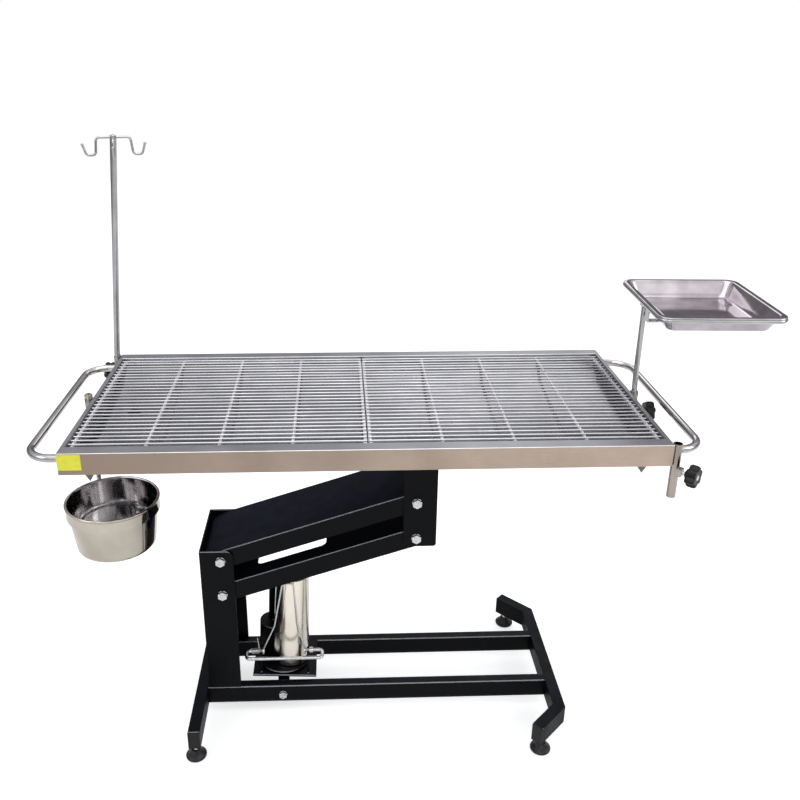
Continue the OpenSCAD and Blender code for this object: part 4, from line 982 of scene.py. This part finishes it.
@dataclass
class InfusionPole:
    """The leaning pole and its four hooks."""

    head: Triple = (-611.0, 290.0, 1450.0)
    foot_z: float = 886.5
    wire: float = 6.0
    turn: float = 12.0

    def build(self) -> None:
        """Builds the pole, its hooks and the cap between them."""
        smoothed("iv_pole", TUBE_STEEL, "iv_pole")
        smoothed("iv_pole_spigot", TUBE_STEEL, "iv_pole")
        parts = []
        centre = place(*self.head)
        for k in (0, 1):
            angle = math.radians(self.turn + 90 * k)
            way = Vector((math.cos(angle), math.sin(angle), 0))
            flat = [(75, -16), (67, -42), (45, -42), (41, 0), (-41, 0), (-45, -42), (-67, -42), (-75, -16)]
            corners = [centre + way * s / 1000 + Z * (h - 1.5 * k) / 1000 for s, h in flat]
            parts.append(swept(rounded_path(corners, 9.0), self.wire / 2, 16))
            for end in (corners[0], corners[-1]):
                ball = bmesh.new()
                bmesh.ops.create_uvsphere(ball, u_segments=16, v_segments=10, radius=0.0036)
                bmesh.ops.translate(ball, vec=end, verts=ball.verts)
                parts.append(ball)
        lean = (centre - place(*SOCKETS["rear_left"], self.foot_z)).normalized()
        hub = [(0, -5.5), (8, -5.5), (8, 3.2), (7.4, 4.2), (5.2, 5.4), (2.6, 6.0), (0, 6.2)]
        parts.append(turned(hub, centre, lean, 40))
        piece = made_object("iv_hooks_bent", joined(parts), TUBE_STEEL, "iv_pole", 45.0)
        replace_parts(piece, "iv_hooks")


@dataclass
class InstrumentStand:
    """The post, its ring and the pressed instrument tray."""

    centre: Pair = (796.0, 14.0)
    rim: float = 1108.0
    length: float = 330.0
    width: float = 286.0
    turn: float = -2.7

    def build(self) -> None:
        """Builds the stand and its tray."""
        smoothed("tray_post", TUBE_STEEL, "tray_arm")
        smoothed("tray_holder", TUBE_STEEL, "tray_arm")
        self.make_tray()

    def make_tray(self) -> None:
        """Presses the tray: a rolled rim, sloping sides, rounded floor edges and a bead in the floor.

        Each level says how far in from the outline it lies, its corners' radius and its height.
        """
        half_l, half_w = self.length / 2, self.width / 2
        levels = [
            (0.6, 28.0, -1.9), (0.0, 28.0, -1.7), (0.0, 28.0, -1.0), (0.7, 27.5, -0.3), (1.8, 26.8, 0.0),
            (9.0, 23.5, 0.0), (11.4, 22.0, -0.5), (13.0, 21.0, -2.2), (17.0, 20.0, -11.0),
            (24.0, 19.0, -27.0), (27.6, 18.0, -34.4), (31.0, 16.0, -38.0), (36.0, 13.0, -39.6),
            (42.0, 11.0, -40.0), (54.0, 8.0, -40.0), (56.0, 8.0, -39.2), (60.0, 8.0, -39.0),
        ]
        per_corner = 10
        bm = bmesh.new()
        bmesh.ops.create_circle(bm, cap_ends=False, radius=1.0, segments=4 * per_corner)
        verts, edges = list(bm.verts), list(bm.edges)
        for i, (inset, corner, height) in enumerate(levels):
            if i:
                verts, edges = extruded(bm, edges)
            verts.sort(key=lambda v: math.atan2(v.co.y, v.co.x))
            for k, vert in enumerate(verts):
                quarter, step = divmod(k, per_corner)
                angle = math.pi * (-1 + quarter / 2) + math.pi / 2 * step / (per_corner - 1)
                sx, sy = ((-1, -1), (1, -1), (1, 1), (-1, 1))[quarter]
                cx, cy = sx * (half_w - inset - corner), sy * (half_l - inset - corner)
                out_x, out_y = cx + corner * math.cos(angle), cy + corner * math.sin(angle)
                vert.co = (out_x / 1000, out_y / 1000, height / 1000)
        bmesh.ops.contextual_create(bm, geom=edges)
        bmesh.ops.recalc_face_normals(bm, faces=bm.faces)
        bmesh.ops.solidify(bm, geom=bm.faces, thickness=-0.0009)
        seat = Matrix.Translation(place(*self.centre, self.rim))
        seat @= Matrix.Rotation(math.radians(self.turn), 4, "Z")
        bmesh.ops.transform(bm, matrix=seat, verts=bm.verts)
        body = "instrument_tray"
        piece = made_object("instrument_tray_pressed", bm, MIRROR_STEEL, body, 50.0)
        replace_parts(piece, "instrument_tray")


@dataclass
class BucketArm:
    """The swing-out hoop and the spun bucket in it."""

    axis_x: float = -602.68
    axis_y: float = -104.23
    rim: float = 658.5
    radius: float = 106.9
    foot: float = 93.5
    height: float = 124.0
    bead: float = 3.4
    collar_gap: float = 0.1

    def profile(self) -> list[Pair]:
        """The bucket's half section: outside from the middle up, the rolled bead and inside down again."""
        foot, low = self.foot, self.rim + 3.5 - self.height
        outer = [
            (0, low + 3.0), (50, low + 2.6), (76, low + 2.0), (80, low),
            (foot - 11, low), (foot - 5, low + 1.4), (foot - 1.6, low + 4.8), (foot, low + 11),
        ]
        flare, climb = self.radius - 0.6 - foot, self.rim - low - 13
        wall = [(foot + flare * k / 6, low + 11 + climb * k / 6) for k in range(1, 7)]
        rolled = []
        for k in range(12):
            angle = math.radians(-130 + 26 * k)
            out = self.radius + 0.5 + self.bead * math.cos(angle)
            rolled.append((out, self.rim + self.bead * math.sin(angle)))
        inner = [
            (foot - 1.2, low + 12), (foot - 3, low + 6), (foot - 7, low + 2.6), (foot - 12, low + 1.2),
            (80, low + 1.2), (76, low + 3.2), (50, low + 3.8), (0, low + 4.2),
        ]
        return outer + wall + rolled + [(r - 1.1, h) for r, h in reversed(wall)] + inner

    def build(self) -> None:
        """Builds the hoop, its collar just clear of the socket, and the bucket with its bright inside, which
        is a painted reflection.
        """
        hanger = smoothed("bucket_hanger", SPUN_STEEL, "bucket_arm")
        for vert in hanger.data.vertices:
            vert.co.z += self.collar_gap / 1000
        axis = place(self.axis_x, self.axis_y, 0)
        bucket = turned(self.profile(), axis, Z, 96)
        spun = made_object("bucket_spun", bucket, SPUN_STEEL, "bucket", 40.0)
        # Painted reflection: the same spun sheet is dressed warm outside and paler, cooler inside.
        spun.data.materials.append(BORE_STEEL.material())
        for face in spun.data.polygons:
            out = (face.center - axis).to_2d()
            inside = out.dot(face.normal.to_2d()) < 0 and out.length < self.radius / 1000 - 0.001
            floor = face.normal.z > 0.7 and face.center.z < (self.rim - 60) / 1000
            face.material_index = int(inside or floor)
        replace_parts(spun, "bucket")


@dataclass
class FootPump:
    """The cradle, the pump, its cover, the pedal with its spring, and the release wire."""

    lug_left: float = -276.0
    lug_right: float = -152.0
    hinge: Pair = (-56.0, 165.0)
    wire: float = 2.4
    turns: int = 6
    pitch: float = 3.4
    coil: float = 6.6

    def build(self) -> None:
        """Builds the pump and what the foot works."""
        smoothed("pump_cradle", BLACK_COAT, "pump", 1.0, 14.0)
        smoothed("pump_base", BLACK_COAT, "pump")
        smoothed("pump_cylinder", SOCKET_STEEL, "pump")
        smoothed("pump_reservoir", BLACK_COAT, "pump")
        smoothed("ram_rod", CHROME, "ram")
        smoothed("ram_cover", COVER_CHROME, "ram")
        smoothed("pedal_tread", ZINC, "pedal")
        self.make_spring()
        self.make_release()

    def make_spring(self) -> None:
        """Winds the pedal's return spring in one wire."""
        y, z = self.hinge
        start = self.lug_left - 25.2
        path = [place(start, y - 26, z + 24), place(start, y - 15, z + 16.5)]
        path.append(place(start, y - 4, z + self.coil + 0.5))
        rings = 24
        for i in range(self.turns * rings + 1):
            angle = math.radians(90 - 360 * i / rings)
            across, up = self.coil * math.cos(angle), self.coil * math.sin(angle)
            path.append(place(start + self.pitch * i / rings, y + across, z + up))
        end = start + self.pitch * self.turns
        path += [place(end, y + 4, z + self.coil + 4), place(end - 4, y + 8, z + 36)]
        piece = made_object("pedal_spring_wound", swept(path, self.wire / 2, 12), ZINC, "pump", 60.0)
        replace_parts(piece, "pedal_spring")

    def make_release(self) -> None:
        """Bends the release wire and puts its two eyes on the hinge."""
        y, z = self.hinge
        left, right = self.lug_left + 5, self.lug_right - 11
        mid = y + 4
        corners = [
            place(left + 2.5, y - 1, z + 7), place(-238, mid, 240), place(-213, mid, 372),
            place(-185, mid, 372), place(-176, mid, 240), place(right + 2.5, y - 1, z + 7),
        ]
        parts = [swept(rounded_path(corners, 8.0), 2.25, 14)]
        for x in (left, right):
            eye = [(4.6, 0), (8.4, 0), (9.25, 0.8), (9.25, 4.2), (8.4, 5), (4.6, 5), (4.6, 0)]
            parts.append(turned(eye, place(x, y, z), X, 36))
        piece = made_object("release_wire_bent", joined(parts), ZINC, "release_wire", 45.0)
        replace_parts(piece, "release_wire")


def main() -> None:
    """Builds the studio and every sub-assembly."""
    logging.basicConfig(level=logging.INFO, format="%(name)s: %(message)s")
    Studio().build()
    BaseFrame().build()
    Lift().build()
    Tabletop().build()
    Grille().build()
    StarKnob("knob_front_right", (*SOCKETS["front_right"], 812), (1, -1, 0)).build()
    StarKnob("knob_rear_left", (*SOCKETS["rear_left"], 823), (-1, 1, 0)).build()
    StarKnob("knob_tray", (*SOCKETS["tray"], 823), (1, 0, 0)).build()
    InfusionPole().build()
    InstrumentStand().build()
    BucketArm().build()
    FootPump().build()


if __name__ == "__main__":
    main()
